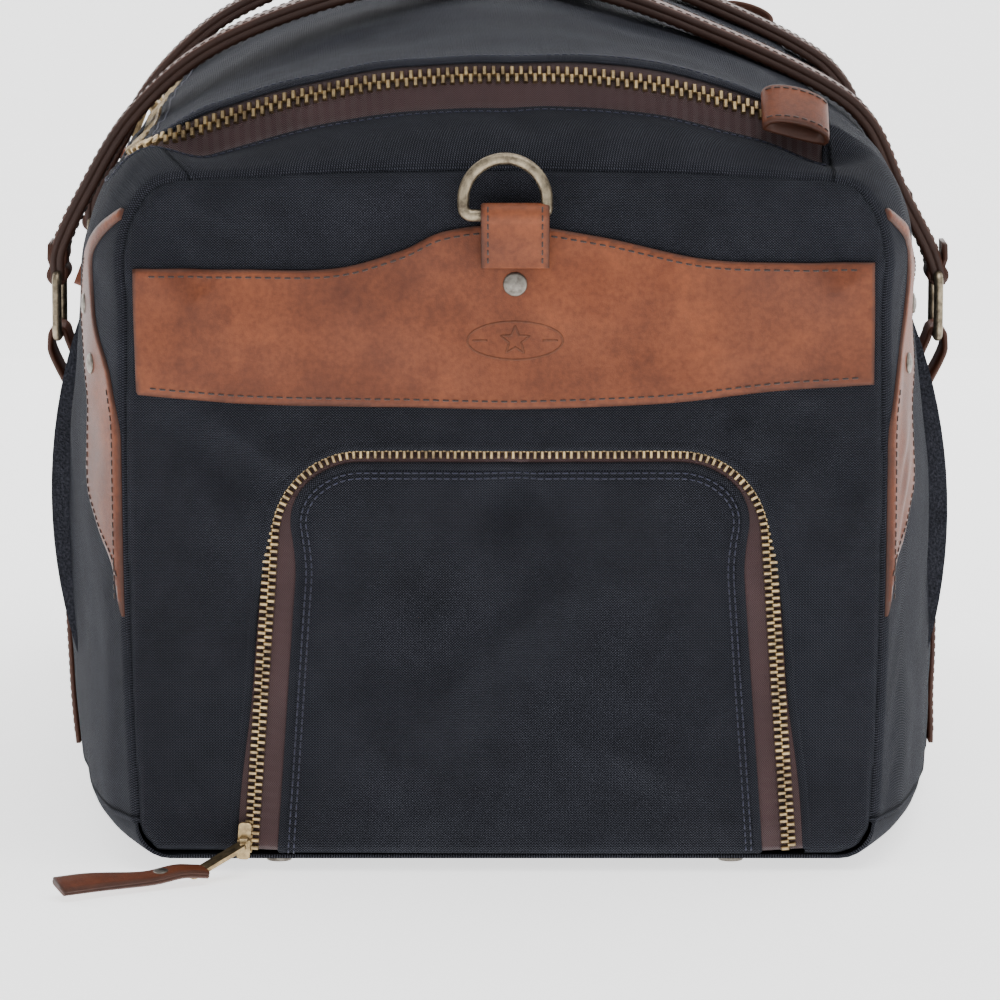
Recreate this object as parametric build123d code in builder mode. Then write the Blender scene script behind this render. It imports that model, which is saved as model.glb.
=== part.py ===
"""Waxed-canvas travel duffel: a canvas shell in sewn panels, a lid with a U-shaped main zip,
a shoe compartment in the front end behind a zipped flap, leather yokes, bands and straps,
two carrying handles on rings, and D-rings on both ends.

Millimetres. +X right and +Y away from the front end, along the bag. +Z up.
The origin is the middle of the centre foot's flat bottom, on the ground.
"""
from build123d import *
import os
from math import cos, radians, sin

os.makedirs("parts", exist_ok=True)

# Shell
LENGTH = 550.0
HALF = LENGTH / 2
CANVAS = 3.0              # canvas with its lining
FOOT_HEIGHT = 5.0
BASE_RADIUS = 14.0
BASE_HALF = (148.0, 162.0)        # half width just above the base: at the ends, at mid-length
BELLY_HALF = {-1: (152.0, 190.0), 1: (152.0, 187.0)}
UPPER_HALF = {-1: (151.5, 172.0), 1: (151.5, 163.0)}
BELLY_Z = 94.0
UPPER_Z = 234.0
END_CREST_Z = 283.0       # top of the end panels at the middle
ZIP_CREST_Z = 319.0       # crest where the main zip crosses
CROWN_Z = 340.0           # top of the bag at mid-length
SHOULDER = (150.0, 287.0)         # main zip line along the side
END_SHOULDER = (138.0, 281.0)
STATIONS = (275.0, 269.0, 260.0, 248.0, 235.0, 212.0, 175.0, 115.0)
END_FACE = HALF - CANVAS
BASE_SEAM_Z = 20.0
END_SEAM_Z = 9.0
FAR = 600.0

# Main zip and lid
ZIP_Y = 235.0
ZIP_Z = SHOULDER[1]
HINGE_X = 128.0
CHAIN_GAP = 0.15          # each chain half stops this far from the middle line
CHAIN_HALF = 3.2
LID_TAPE = 8.0
BODY_TAPE = 10.0
CHAIN_END_X = 104.0
TAPE_END_X = 124.0

# Shoe compartment and its U zip
POCKET_X = 6.0
POCKET_HALF = (108.5, 97.0)       # half width of the zip line at the bottom and at the top
POCKET_TOP_Z = 172.0
POCKET_FOOT_Z = 16.0              # where the zip line starts
POCKET_CORNER = 36.0
FLAP_TAPE = 14.0
FRAME_TAPE = 7.0
DIVIDER_Y = -165.0
DIVIDER_TOP_Z = 262.0
CLOTH = 1.5

# Leather
LEATHER = 2.2
SHELL_GAP = 0.2
STRAP_WIDTH = 26.0
RIVET_RADIUS = 4.5
RIVET_HEIGHT = 1.8
YOKE_HALF = 148.0

# Rings and handles
RING_Y = 106.0
RING_X = {-1: 190.0, 1: 184.0}
RING_LOW_Z = 198.0
RING_TALL = 26.0
RING_WIDE = 34.0
RING_WIRE = 2.0
D_WIRE = 2.4
D_HALF = 16.6
D_LEG = 5.8
D_BAR_Z = 267.0
D_BAR_Y = HALF + LEATHER + D_WIRE + 3.0
D_TILT = 6.0
CHAPE_WIDTH = 27.0
CLEAR = 0.3
HANDLE_THICK = 5.0
HANDLE_WIDTH = 28.0
GRIP_X = 25.0
HANDLE_FAR = 280.0        # how far the blocks reach that the handle straps are cut from

# Sliders and pulls
SLIDER_WIDTH = 5.2
SLIDER_LENGTH = 15.0
SLIDER_PLATE = 2.0
SLIDER_LIFT = 1.9
PIN_RADIUS = 0.9
KNUCKLE_RADIUS = 2.3
PULL_WIDTH = 7.0
PULL_LENGTH = 32.0
PULL_THICK = 1.6
PULLER_WIDTH = 12.0
PULLER_LENGTH = 64.0
PULLER_THICK = 4.4
SLIDER_REST_Y = 14.0
PIN_LIFT = 5.0            # from the slider's underside to its pin
PULLER_RIVET_AT = 16.0
PULLER_OVERLAP = 8.0
ELBOW = 4.0               # from the pin to where a pull's plate begins
POCKET_SLIDER_Z = 13.0
PULL_END = Vector(-126.0, -299.0, 3.0)
PULLER_DIRECTION = (-53.0, -30.0)


def block(low, high, mode=Mode.ADD):
    """A box between two corners, in the open part."""
    with Locations(tuple((a + b) / 2 for a, b in zip(low, high))):
        Box(*(b - a for a, b in zip(low, high)), mode=mode)


def write(part, name):
    part.label = name
    export_step(part, f"parts/{name}.step")


def mix(pair, amount):
    return pair[0] + (pair[1] - pair[0]) * amount


def hull(grow):
    """The closed outer form of the bag, grown outwards by a distance."""
    ends = [-y for y in STATIONS] + [0.0] + list(reversed(STATIONS))
    with BuildPart() as form:
        for y in ends:
            edge = min(1.0, (HALF - abs(y)) / (HALF - ZIP_Y))
            full = 1 - (abs(y) / HALF) ** 7
            crest = mix((END_CREST_Z, ZIP_CREST_Z), 1 - (1 - edge) ** 2)
            crest += (CROWN_Z - ZIP_CREST_Z) * max(0.0, 1 - (y / ZIP_Y) ** 2) + grow
            turn = 1 - (1 - edge) ** 2
            shoulder = [mix(pair, turn) + 0.75 * grow for pair in zip(END_SHOULDER, SHOULDER)]
            base = mix(BASE_HALF, full) + grow
            low = FOOT_HEIGHT - grow
            foot = low + BASE_RADIUS
            with BuildSketch(Plane.XZ.offset(-y * (HALF + grow) / HALF)):
                with BuildLine():
                    Line((-base + BASE_RADIUS, low), (base - BASE_RADIUS, low))
                    RadiusArc((base - BASE_RADIUS, low), (base, foot), -BASE_RADIUS)
                    for side in (1, -1):
                        belly = mix(BELLY_HALF[side], full) + grow
                        upper = mix(UPPER_HALF[side], full) + grow
                        bend = mix((7.0, 4.0), full)
                        via = ((upper + shoulder[0]) / 2 + bend, (UPPER_Z + shoulder[1]) / 2 + 1.5)
                        ThreePointArc(
                            (side * base, foot), (side * belly, BELLY_Z), (side * upper, UPPER_Z)
                        )
                        ThreePointArc(
                            (side * upper, UPPER_Z), (side * via[0], via[1]),
                            (side * shoulder[0], shoulder[1]),
                        )
                    ThreePointArc((shoulder[0], shoulder[1]), (0, crest), (-shoulder[0], shoulder[1]))
                    RadiusArc((-base, foot), (-base + BASE_RADIUS, low), -BASE_RADIUS)
                make_face()
        loft()
    return form.part


def shell(outer, inner):
    with BuildPart() as form:
        add(hull(outer))
        add(hull(inner), mode=Mode.SUBTRACT)
    return form.part


def lid_zone(grow, mode):
    """The block of space over the lid, grown outwards from the zip line."""
    block((-FAR, -ZIP_Y - grow, ZIP_Z - grow), (HINGE_X, ZIP_Y + grow, FAR), mode)


# ---------------------------------------------------------------- canvas shell
skin = shell(0.0, -CANVAS)
interior = hull(-CANVAS - 0.1)

with BuildPart() as bottom_panel:
    add(skin)
    block((-FAR, -FAR, -FAR), (FAR, FAR, BASE_SEAM_Z), Mode.INTERSECT)
    for side in (1, -1):
        block((-FAR, min(side * END_FACE, side * FAR), END_SEAM_Z),
              (FAR, max(side * END_FACE, side * FAR), FAR), Mode.SUBTRACT)
write(bottom_panel.part, "bottom_panel")

for side, name in ((-1, "left_side_panel"), (1, "right_side_panel")):
    with BuildPart() as side_panel:
        add(skin)
        low_x, high_x = sorted((side * HINGE_X, side * FAR))
        block((low_x, -END_FACE, BASE_SEAM_Z), (high_x, END_FACE, FAR), Mode.INTERSECT)
        lid_zone(BODY_TAPE, Mode.SUBTRACT)
    write(side_panel.part, name)

for end, name in ((-1, "front_top_gusset"), (1, "back_top_gusset")):
    with BuildPart() as gusset:
        add(skin)
        low_y, high_y = sorted((end * (ZIP_Y + BODY_TAPE), end * END_FACE))
        block((-HINGE_X, low_y, UPPER_Z), (HINGE_X, high_y, FAR), Mode.INTERSECT)
    write(gusset.part, name)

with BuildPart() as lid_panel:
    add(skin)
    lid_zone(-LID_TAPE, Mode.INTERSECT)
    block((HINGE_X - CLEAR, -FAR, -FAR), (FAR, FAR, FAR), Mode.SUBTRACT)
write(lid_panel.part, "lid_panel")


def pocket_outline(grow):
    """The U of the compartment's zip as a closed face, grown outwards."""
    with BuildSketch(Plane.XZ.offset(FAR)) as face:
        with BuildLine():
            Polyline(
                (POCKET_X - POCKET_HALF[0] - grow, END_SEAM_Z),
                (POCKET_X - POCKET_HALF[1] - grow, POCKET_TOP_Z + grow),
                (POCKET_X + POCKET_HALF[1] + grow, POCKET_TOP_Z + grow),
                (POCKET_X + POCKET_HALF[0] + grow, END_SEAM_Z),
                close=True,
            )
        make_face()
        fillet(face.vertices().group_by(Axis.Z)[-1], POCKET_CORNER + grow)
    return face.sketch


def pocket_zone(grow, mode):
    extrude(pocket_outline(grow), amount=-FAR, mode=mode)


for end, name in ((-1, "front_end_panel"), (1, "back_end_panel")):
    with BuildPart() as end_panel:
        add(skin)
        low_y, high_y = sorted((end * END_FACE, end * FAR))
        block((-FAR, low_y, END_SEAM_Z), (FAR, high_y, FAR), Mode.INTERSECT)
        if end < 0:
            pocket_zone(FRAME_TAPE, Mode.SUBTRACT)
    write(end_panel.part, name)

with BuildPart() as pocket_flap:
    add(skin)
    block((-FAR, -FAR, END_SEAM_Z + CLEAR), (FAR, -END_FACE, FAR), Mode.INTERSECT)
    pocket_zone(-FLAP_TAPE, Mode.INTERSECT)
write(pocket_flap.part, "pocket_flap")

# ---------------------------------------------------------------- inside
BOARD_TOP = FOOT_HEIGHT + CANVAS + 2.6
with BuildPart() as base_board:
    block((-126, -END_FACE + 8, FOOT_HEIGHT + CANVAS + 0.1), (126, END_FACE - 8, BOARD_TOP))
write(base_board.part, "base_board")

with BuildPart() as compartment_wall:
    block((-FAR, DIVIDER_Y - CLOTH, BOARD_TOP + 0.1), (FAR, DIVIDER_Y, DIVIDER_TOP_Z))
    block((-FAR, -END_FACE, DIVIDER_TOP_Z - CLOTH), (FAR, DIVIDER_Y, DIVIDER_TOP_Z))
    add(interior, mode=Mode.INTERSECT)
write(compartment_wall.part, "compartment_wall")

# ---------------------------------------------------------------- feet
FOOT_PLACES = [(0, 0), (-92, -252), (92, -252), (-92, 252), (92, 252)]
with BuildPart() as feet:
    with Locations(*((x, y, FOOT_HEIGHT / 2) for x, y in FOOT_PLACES)):
        Cone(bottom_radius=5.0, top_radius=7.0, height=FOOT_HEIGHT)
write(feet.part, "feet")

# ---------------------------------------------------------------- main zip
TAPE_SHELL = shell(-0.5, -2.0)
CHAIN_SHELL = shell(1.0, -2.5)
MAIN_ZIP = {
    "main_zip_lid_tape": (TAPE_SHELL, -CHAIN_HALF, -LID_TAPE, TAPE_END_X),
    "main_zip_lid_chain": (CHAIN_SHELL, -CHAIN_GAP, -CHAIN_HALF, CHAIN_END_X),
    "main_zip_body_chain": (CHAIN_SHELL, CHAIN_HALF, CHAIN_GAP, CHAIN_END_X),
    "main_zip_body_tape": (TAPE_SHELL, BODY_TAPE, CHAIN_HALF, TAPE_END_X),
}
for name, (source, outer, inner, end_x) in MAIN_ZIP.items():
    with BuildPart() as strip:
        add(source)
        lid_zone(outer, Mode.INTERSECT)
        lid_zone(inner, Mode.SUBTRACT)
        block((end_x, -FAR, -FAR), (FAR, FAR, FAR), Mode.SUBTRACT)
    write(strip.part, name)

with BuildPart() as main_zip_stops:
    add(CHAIN_SHELL)
    lid_zone(CHAIN_HALF, Mode.INTERSECT)
    lid_zone(CHAIN_GAP, Mode.SUBTRACT)
    block((CHAIN_END_X + 0.1, -FAR, -FAR), (CHAIN_END_X + 3.5, FAR, FAR), Mode.INTERSECT)
write(main_zip_stops.part, "main_zip_stops")

# leather loop over each end of the main zip
TAB_X = 120.5
TAB_Z = 303.0
TAB_SLOPE = 22.0          # degrees down to the right
TAB_LENGTH = 30.0
TAB_THICK = 13.0
TAB_WIDTH = 22.0
for end, name in ((-1, "front_zip_tab"), (1, "back_zip_tab")):
    with BuildPart() as tab:
        with BuildSketch(Plane.XZ.offset(-end * (ZIP_Y + CHAIN_HALF + 0.2))):
            with Locations((TAB_X, TAB_Z)):
                SlotOverall(TAB_LENGTH, TAB_THICK, rotation=-TAB_SLOPE)
                SlotOverall(TAB_LENGTH - 2 * LEATHER, TAB_THICK - 2 * LEATHER, rotation=-TAB_SLOPE,
                            mode=Mode.SUBTRACT)
        extrude(amount=-end * TAB_WIDTH)
        add(hull(0.05), mode=Mode.SUBTRACT)
    write(tab.part, name)

# ---------------------------------------------------------------- compartment zip
FLAT_CHAIN = (HALF + 1.5, HALF - 2.0)
FLAT_TAPE = (HALF - 0.5, HALF - 2.0)
POCKET_ZIP = {
    "pocket_zip_flap_tape": (FLAT_TAPE, -CHAIN_HALF, -FLAP_TAPE, END_SEAM_Z + CLEAR),
    "pocket_zip_flap_chain": (FLAT_CHAIN, -CHAIN_GAP, -CHAIN_HALF, POCKET_FOOT_Z),
    "pocket_zip_frame_chain": (FLAT_CHAIN, CHAIN_HALF, CHAIN_GAP, POCKET_FOOT_Z),
    "pocket_zip_frame_tape": (FLAT_TAPE, FRAME_TAPE, CHAIN_HALF, END_SEAM_Z),
}
for name, (depth, outer, inner, low_z) in POCKET_ZIP.items():
    with BuildPart() as strip:
        block((-FAR, -depth[0], low_z), (FAR, -depth[1], FAR))
        pocket_zone(outer, Mode.INTERSECT)
        pocket_zone(inner, Mode.SUBTRACT)
    write(strip.part, name)

with BuildPart() as pocket_zip_stops:
    block((-FAR, -FLAT_CHAIN[0], POCKET_FOOT_Z - 3.5), (FAR, -FLAT_CHAIN[1], POCKET_FOOT_Z - 0.1))
    pocket_zone(CHAIN_HALF, Mode.INTERSECT)
    pocket_zone(CHAIN_GAP, Mode.SUBTRACT)
write(pocket_zip_stops.part, "pocket_zip_stops")

# ---------------------------------------------------------------- yokes and end rings
YOKE_CREST = [(-70, 244.5), (-42, 253), (-24, 261.5), (4, 263.5), (38, 258), (78, 248)]
for end, name in ((-1, "front_yoke"), (1, "back_yoke")):
    with BuildPart() as yoke:
        with BuildSketch(Plane.XZ.offset(-end * HALF)):
            with BuildLine():
                Spline(*YOKE_CREST, tangents=((1, 0), (1, -0.1)))
                Polyline((78, 248), (YOKE_HALF - 3, 248), (YOKE_HALF, 198))
                Spline((YOKE_HALF, 198), (60, 191), (0, 189.5), (-102, 191))
                Polyline((-102, 191), (2 - YOKE_HALF, 194), (-YOKE_HALF, 245), (-70, 244.5))
            make_face()
        extrude(amount=-end * LEATHER)
    write(yoke.part, name)

D_LOOP = D_WIRE + CLEAR + LEATHER
D_TAIL_Z = 247.0
for end, word in ((-1, "front"), (1, "back")):
    bar = (end * D_BAR_Y, D_BAR_Z)
    back = end * (HALF + LEATHER)
    with BuildPart() as chape:
        with BuildSketch(Plane.YZ):
            with Locations(bar):
                Circle(D_LOOP)
            with BuildLine():
                Polyline(
                    (back, D_BAR_Z + 2.0), (back, D_TAIL_Z), (back + end * LEATHER, D_TAIL_Z),
                    (bar[0] + end * D_LOOP, D_BAR_Z - 1.0), bar, close=True,
                )
            make_face()
            with Locations(bar):
                Circle(D_WIRE + CLEAR, mode=Mode.SUBTRACT)
        extrude(amount=CHAPE_WIDTH / 2, both=True)
        low_y, high_y = sorted((0.0, back))
        block((-FAR, low_y, -FAR), (FAR, high_y, FAR), Mode.SUBTRACT)
    write(chape.part, f"{word}_ring_chape")

    tilt = radians(D_TILT)
    ring_plane = Plane(
        origin=(0, *bar), x_dir=(1, 0, 0), z_dir=(0, -cos(tilt), -end * sin(tilt))
    )
    with BuildPart() as d_ring:
        with BuildLine(ring_plane) as path:
            FilletPolyline((0, 0), (D_HALF, 0), (D_HALF, D_LEG), radius=3.5)
            ThreePointArc((D_HALF, D_LEG), (0, D_LEG + D_HALF), (-D_HALF, D_LEG))
            FilletPolyline((-D_HALF, D_LEG), (-D_HALF, 0), (0, 0), radius=3.5)
        with BuildSketch(Plane(origin=(0, *bar), z_dir=(1, 0, 0))):
            Circle(D_WIRE)
        sweep(path=path.wires()[0])
    write(d_ring.part, f"{word}_d_ring")


def rivet_head(places):
    """Low domed rivet heads, one standing on each plane."""
    with BuildPart() as heads:
        for place in places:
            with BuildSketch(place):
                Circle(RIVET_RADIUS)
            extrude(amount=RIVET_HEIGHT, taper=35)
    return heads.part


YOKE_RIVET = (4.0, 239.0)
yoke_rivets = rivet_head([
    Plane(origin=(YOKE_RIVET[0], end * (HALF + LEATHER), YOKE_RIVET[1]), z_dir=(0, end, 0))
    for end in (-1, 1)
])
write(yoke_rivets, "yoke_rivets")

# ---------------------------------------------------------------- bands and straps on the sides
LEATHER_SHELL = shell(SHELL_GAP + LEATHER, SHELL_GAP)
BAND_OUTER = ((-END_FACE, 268.0), (-206.0, 185.0), (-END_FACE, 100.0))
BAND_INNER = ((-END_FACE, 252.0), (-240.0, 187.0), (-END_FACE, 114.0))
for side, side_word in ((-1, "left"), (1, "right")):
    for end, end_word in ((-1, "front"), (1, "back")):
        with BuildPart() as band:
            with BuildSketch(Plane.YZ):
                with BuildLine():
                    outer = [(-end * y, z) for y, z in BAND_OUTER]
                    inner = [(-end * y, z) for y, z in BAND_INNER]
                    ThreePointArc(*outer)
                    Line(outer[2], inner[2])
                    ThreePointArc(*inner)
                    Line(inner[0], outer[0])
                make_face()
            extrude(amount=side * FAR)
            add(LEATHER_SHELL, mode=Mode.INTERSECT)
        write(band.part, f"{side_word}_{end_word}_band")

PIN_LOOP = RING_WIRE + CLEAR + LEATHER
STRAP_TOP_Z = 176.0
for side, side_word in ((-1, "left"), (1, "right")):
    ring_x = side * RING_X[side]
    for end, end_word in ((-1, "front"), (1, "back")):
        middle = end * RING_Y
        with BuildPart() as strap:
            low_x, high_x = sorted((0.0, side * FAR))
            block((low_x, middle - STRAP_WIDTH / 2, BASE_SEAM_Z + 2),
                  (high_x, middle + STRAP_WIDTH / 2, STRAP_TOP_Z))
            add(LEATHER_SHELL, mode=Mode.INTERSECT)
            with BuildSketch(Plane.XZ.offset(-middle - STRAP_WIDTH / 2)):
                with Locations((ring_x, RING_LOW_Z)):
                    Circle(PIN_LOOP)
                with BuildLine():
                    Polyline(
                        (ring_x - side * PIN_LOOP, RING_LOW_Z), (ring_x + side * PIN_LOOP, RING_LOW_Z - 1),
                        (ring_x + side * 5.0, 172), (ring_x + side * 3.5, 158),
                        (ring_x - side * 12, 162), close=True,
                    )
                make_face()
            extrude(amount=STRAP_WIDTH)
            add(hull(SHELL_GAP), mode=Mode.SUBTRACT)
            with BuildSketch(Plane.XZ.offset(-middle - STRAP_WIDTH / 2)):
                with Locations((ring_x, RING_LOW_Z)):
                    Circle(RING_WIRE + CLEAR)
            extrude(amount=STRAP_WIDTH, mode=Mode.SUBTRACT)
        write(strap.part, f"{side_word}_{end_word}_strap")

        with BuildPart() as ring:
            ring_plane = Plane(origin=(ring_x, middle, RING_LOW_Z), x_dir=(0, 1, 0), z_dir=(1, 0, 0))
            reach = RING_WIDE / 2
            with BuildLine(ring_plane) as path:
                for half in (reach, -reach):
                    FilletPolyline((0, 0), (half, 0), (half, RING_TALL), (0, RING_TALL), radius=3.5)
            with BuildSketch(Plane(origin=(ring_x, middle, RING_LOW_Z), z_dir=(0, 1, 0))):
                Circle(RING_WIRE)
            sweep(path=path.wires()[0])
        write(ring.part, f"{side_word}_{end_word}_ring")

# ---------------------------------------------------------------- handles
# centre line of each strap over the shoulder, from its ring: inwards, upwards
HANDLE_ARCH = {
    -1: [(0, 26), (1, 38), (12, 61), (31, 92), (59, 118), (95, 135.5), (137, 147.5), (184, 153)],
    1: [(0, 26), (4, 38), (16.5, 62), (29.5, 90), (50, 107), (95, 128), (137, 143), (184, 150)],
}
for side, side_word in ((-1, "left"), (1, "right")):
    ring_x = side * RING_X[side]
    grip_out, grip_in = side * (GRIP_X + HANDLE_WIDTH / 2), side * (GRIP_X - HANDLE_WIDTH / 2)
    with BuildPart() as plan:
        with BuildSketch(Plane.XY.offset(RING_LOW_Z)):
            with Locations(((side * HANDLE_FAR + grip_in) / 2, 0)):
                RectangleRounded(HANDLE_FAR - abs(grip_in), 2 * RING_Y + HANDLE_WIDTH, 75)
            with Locations(((side * HANDLE_FAR + grip_out) / 2, 0)):
                RectangleRounded(HANDLE_FAR - abs(grip_out), 2 * RING_Y - HANDLE_WIDTH, 47,
                                 mode=Mode.SUBTRACT)
        extrude(amount=HANDLE_FAR)
    with BuildLine() as arch:
        Spline(*((ring_x - side * x, RING_LOW_Z + z) for x, z in HANDLE_ARCH[side]),
               tangents=((0, 1), (-side, 0)))
    centre = arch.line.edges()[0]
    faces = [
        [centre.position_at(i / 12) + centre.tangent_at(i / 12).rotate(Axis.Z, turn) * HANDLE_THICK / 2
         for i in range(13)]
        for turn in (90, -90)
    ]
    with BuildPart() as handle:
        with BuildSketch(Plane.XZ.offset(-HANDLE_FAR / 2)):
            with BuildLine():
                under, over = (Spline(*points) for points in faces)
                Line(under @ 0, over @ 0)
                Line(under @ 1, over @ 1)
            make_face()
        extrude(amount=HANDLE_FAR)
        add(plan.part, mode=Mode.INTERSECT)
        loops = [Plane(origin=(ring_x, end * RING_Y, RING_LOW_Z + RING_TALL), z_dir=(0, 1, 0)).location
                 for end in (-1, 1)]
        with Locations(*loops):
            Cylinder(PIN_LOOP, HANDLE_WIDTH)
            Cylinder(RING_WIRE + CLEAR, HANDLE_WIDTH, mode=Mode.SUBTRACT)
    write(handle.part, f"{side_word}_handle")

# ---------------------------------------------------------------- rivets on the bands
# height and distance behind the end face of each band's two rivets
BAND_RIVETS = [(228.0, 38.0), (203.0, 50.0)]
BAND_FACE = hull(SHELL_GAP + LEATHER)


def side_place(side, y, z):
    """A plane on the leather band's outer face, with its normal outwards."""
    ray = Axis((side * FAR, y, z), (-side, 0, 0))
    spot, normal = BAND_FACE.find_intersection_points(ray)[0]
    return Plane(origin=spot, z_dir=normal if normal.X * side > 0 else -normal)


band_rivets = rivet_head([
    side_place(side, end * (HALF - depth), z)
    for side in (-1, 1) for end in (-1, 1) for z, depth in BAND_RIVETS
])
write(band_rivets, "band_rivets")

# ---------------------------------------------------------------- sliders and pulls
SLIDER_MIDDLE = CHAIN_GAP + 0.2 + SLIDER_WIDTH / 2


def slider_body(place, along_travel):
    """Half a slider's outer plate, two ears and the pin between them.

    Local x runs away from the chain's middle line, y along the travel, z outwards.
    """
    reach = 4.0 if along_travel else SLIDER_WIDTH / 2 - 0.5
    ear = (2.4, 1.0) if along_travel else (1.0, 2.4)
    step = (0, reach) if along_travel else (reach, 0)
    with BuildPart() as body:
        with BuildSketch(place):
            with Locations((SLIDER_MIDDLE, 0)):
                RectangleRounded(SLIDER_WIDTH, SLIDER_LENGTH, 1.5)
        extrude(amount=SLIDER_PLATE)
        with BuildSketch(place.offset(SLIDER_PLATE)):
            for sign in (-1, 1):
                with Locations((SLIDER_MIDDLE + sign * step[0], sign * step[1])):
                    Rectangle(*ear)
        extrude(amount=PIN_LIFT - SLIDER_PLATE + PIN_RADIUS)
        pin_start = place.from_local_coords((SLIDER_MIDDLE - step[0], -step[1], PIN_LIFT))
        with BuildSketch(Plane(origin=pin_start, z_dir=place.y_dir if along_travel else place.x_dir)):
            Circle(PIN_RADIUS)
        extrude(amount=2 * reach)
    return body.part


def pull_body(pin, pin_direction, knuckle, elbow, tip, face):
    """A flat metal pull: a knuckle on the pin, an arm to the elbow and a plate on to the tip."""
    start = pin - pin_direction * (knuckle / 2)
    arm = elbow - pin
    run = tip - elbow
    with BuildPart() as body:
        with BuildSketch(Plane(origin=elbow, x_dir=run.cross(face), z_dir=face)):
            with Locations((0, run.length / 2)):
                RectangleRounded(PULL_WIDTH, run.length, 2.0)
        extrude(amount=PULL_THICK / 2, both=True)
        with BuildSketch(Plane(origin=pin, x_dir=pin_direction, z_dir=arm)):
            Rectangle(knuckle - 0.6, PULL_THICK)
        extrude(amount=arm.length + PULL_THICK)
        with BuildSketch(Plane(origin=start, z_dir=pin_direction)):
            Circle(KNUCKLE_RADIUS)
        extrude(amount=knuckle)
        with BuildSketch(Plane(origin=start, z_dir=pin_direction)):
            Circle(PIN_RADIUS + 0.2)
        extrude(amount=knuckle, mode=Mode.SUBTRACT)
    return body.part


def puller_body(place, metal):
    """A two-ply leather puller, slotted at its near end for the metal pull."""
    with BuildPart() as body:
        with BuildSketch(place):
            with Locations((0, PULLER_LENGTH / 2)):
                RectangleRounded(PULLER_WIDTH, PULLER_LENGTH, 3.0)
            with Locations((0, PULLER_RIVET_AT)):
                Circle(2.0, mode=Mode.SUBTRACT)
        extrude(amount=PULLER_THICK / 2, both=True)
        add(metal, mode=Mode.SUBTRACT)
    return body.part


def puller_rivet(place):
    with BuildPart() as body:
        with BuildSketch(place):
            with Locations((0, PULLER_RIVET_AT)):
                Circle(1.9)
        extrude(amount=PULLER_THICK / 2 + 0.3, both=True)
    return body.part


# the two main sliders meet at mid-length on the left; their pulls hang down the side
SLOPE = cos(radians(45))
HANG = radians(21)
for end, word in ((-1, "front"), (1, "back")):
    seat = Plane(origin=(-SHOULDER[0], end * SLIDER_REST_Y, SHOULDER[1]),
                 x_dir=(-SLOPE, 0, -SLOPE), z_dir=(-SLOPE, 0, SLOPE)).offset(SLIDER_LIFT)
    write(slider_body(seat, True), f"main_slider_{word}")
    pin = seat.from_local_coords((SLIDER_MIDDLE, 0, PIN_LIFT))
    hang = Plane(origin=pin, x_dir=(0, 1, 0), z_dir=(-cos(HANG), 0, sin(HANG)))
    elbow = Vector(hang.from_local_coords((0, ELBOW, 0)))
    tip = Vector(hang.from_local_coords((0, PULL_LENGTH, 0)))
    metal = pull_body(Vector(pin), Vector(0, 1, 0), 6.0, elbow, tip, hang.z_dir)
    write(metal, f"main_pull_{word}")
    strap_place = Plane(origin=hang.from_local_coords((0, PULL_LENGTH - PULLER_OVERLAP, 0)),
                        x_dir=hang.x_dir, z_dir=hang.z_dir)
    write(puller_body(strap_place, metal), f"main_puller_{word}")
    write(puller_rivet(strap_place), f"main_puller_rivet_{word}")
    print(f"main_pull_{word} pin", tuple(round(c, 3) for c in pin))

# the compartment's slider stands at the foot of the left leg, its puller on the ground
LEG_RUN = POCKET_HALF[0] - POCKET_HALF[1]
LEG_RISE = POCKET_TOP_Z - END_SEAM_Z
leg = Vector(LEG_RUN, 0, LEG_RISE).normalized()
leg_x = POCKET_X - POCKET_HALF[0] + LEG_RUN * (POCKET_SLIDER_Z - END_SEAM_Z) / LEG_RISE
seat = Plane(origin=(leg_x, -HALF - SLIDER_LIFT, POCKET_SLIDER_Z), x_dir=(-leg.Z, 0, leg.X),
             z_dir=(0, -1, 0))
write(slider_body(seat, False), "pocket_slider")
pin = Vector(seat.from_local_coords((SLIDER_MIDDLE, 0, PIN_LIFT)))
elbow = pin + Vector(0, -ELBOW, 0)
down = (PULL_END - elbow).normalized()
metal = pull_body(pin, Vector(1, 0, 0), 3.0, elbow, PULL_END,
                  (Vector(0, 0, 1) - down * down.Z).normalized())
write(metal, "pocket_pull")
lie = Vector(*PULLER_DIRECTION, 0).normalized()
strap_place = Plane(origin=PULL_END - lie * PULLER_OVERLAP, x_dir=lie.cross(Vector(0, 0, 1)),
                    z_dir=(0, 0, 1))
write(puller_body(strap_place, metal), "pocket_puller")
write(puller_rivet(strap_place), "pocket_puller_rivet")
print("pocket_pull pin", tuple(round(c, 3) for c in pin), "slide", tuple(round(c, 4) for c in leg))
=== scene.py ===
"""Looks of the waxed-canvas travel duffel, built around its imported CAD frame.

Shapes are worked out in millimetres and made in metres. x runs to the right, y along the bag with
its front end at -y, and z up. The canvas of the sides, gussets and lid is laid out by (y, b), where
b is the distance along the bag's outline from the left shoulder, positive over the top to the right.
"""
import math

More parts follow.
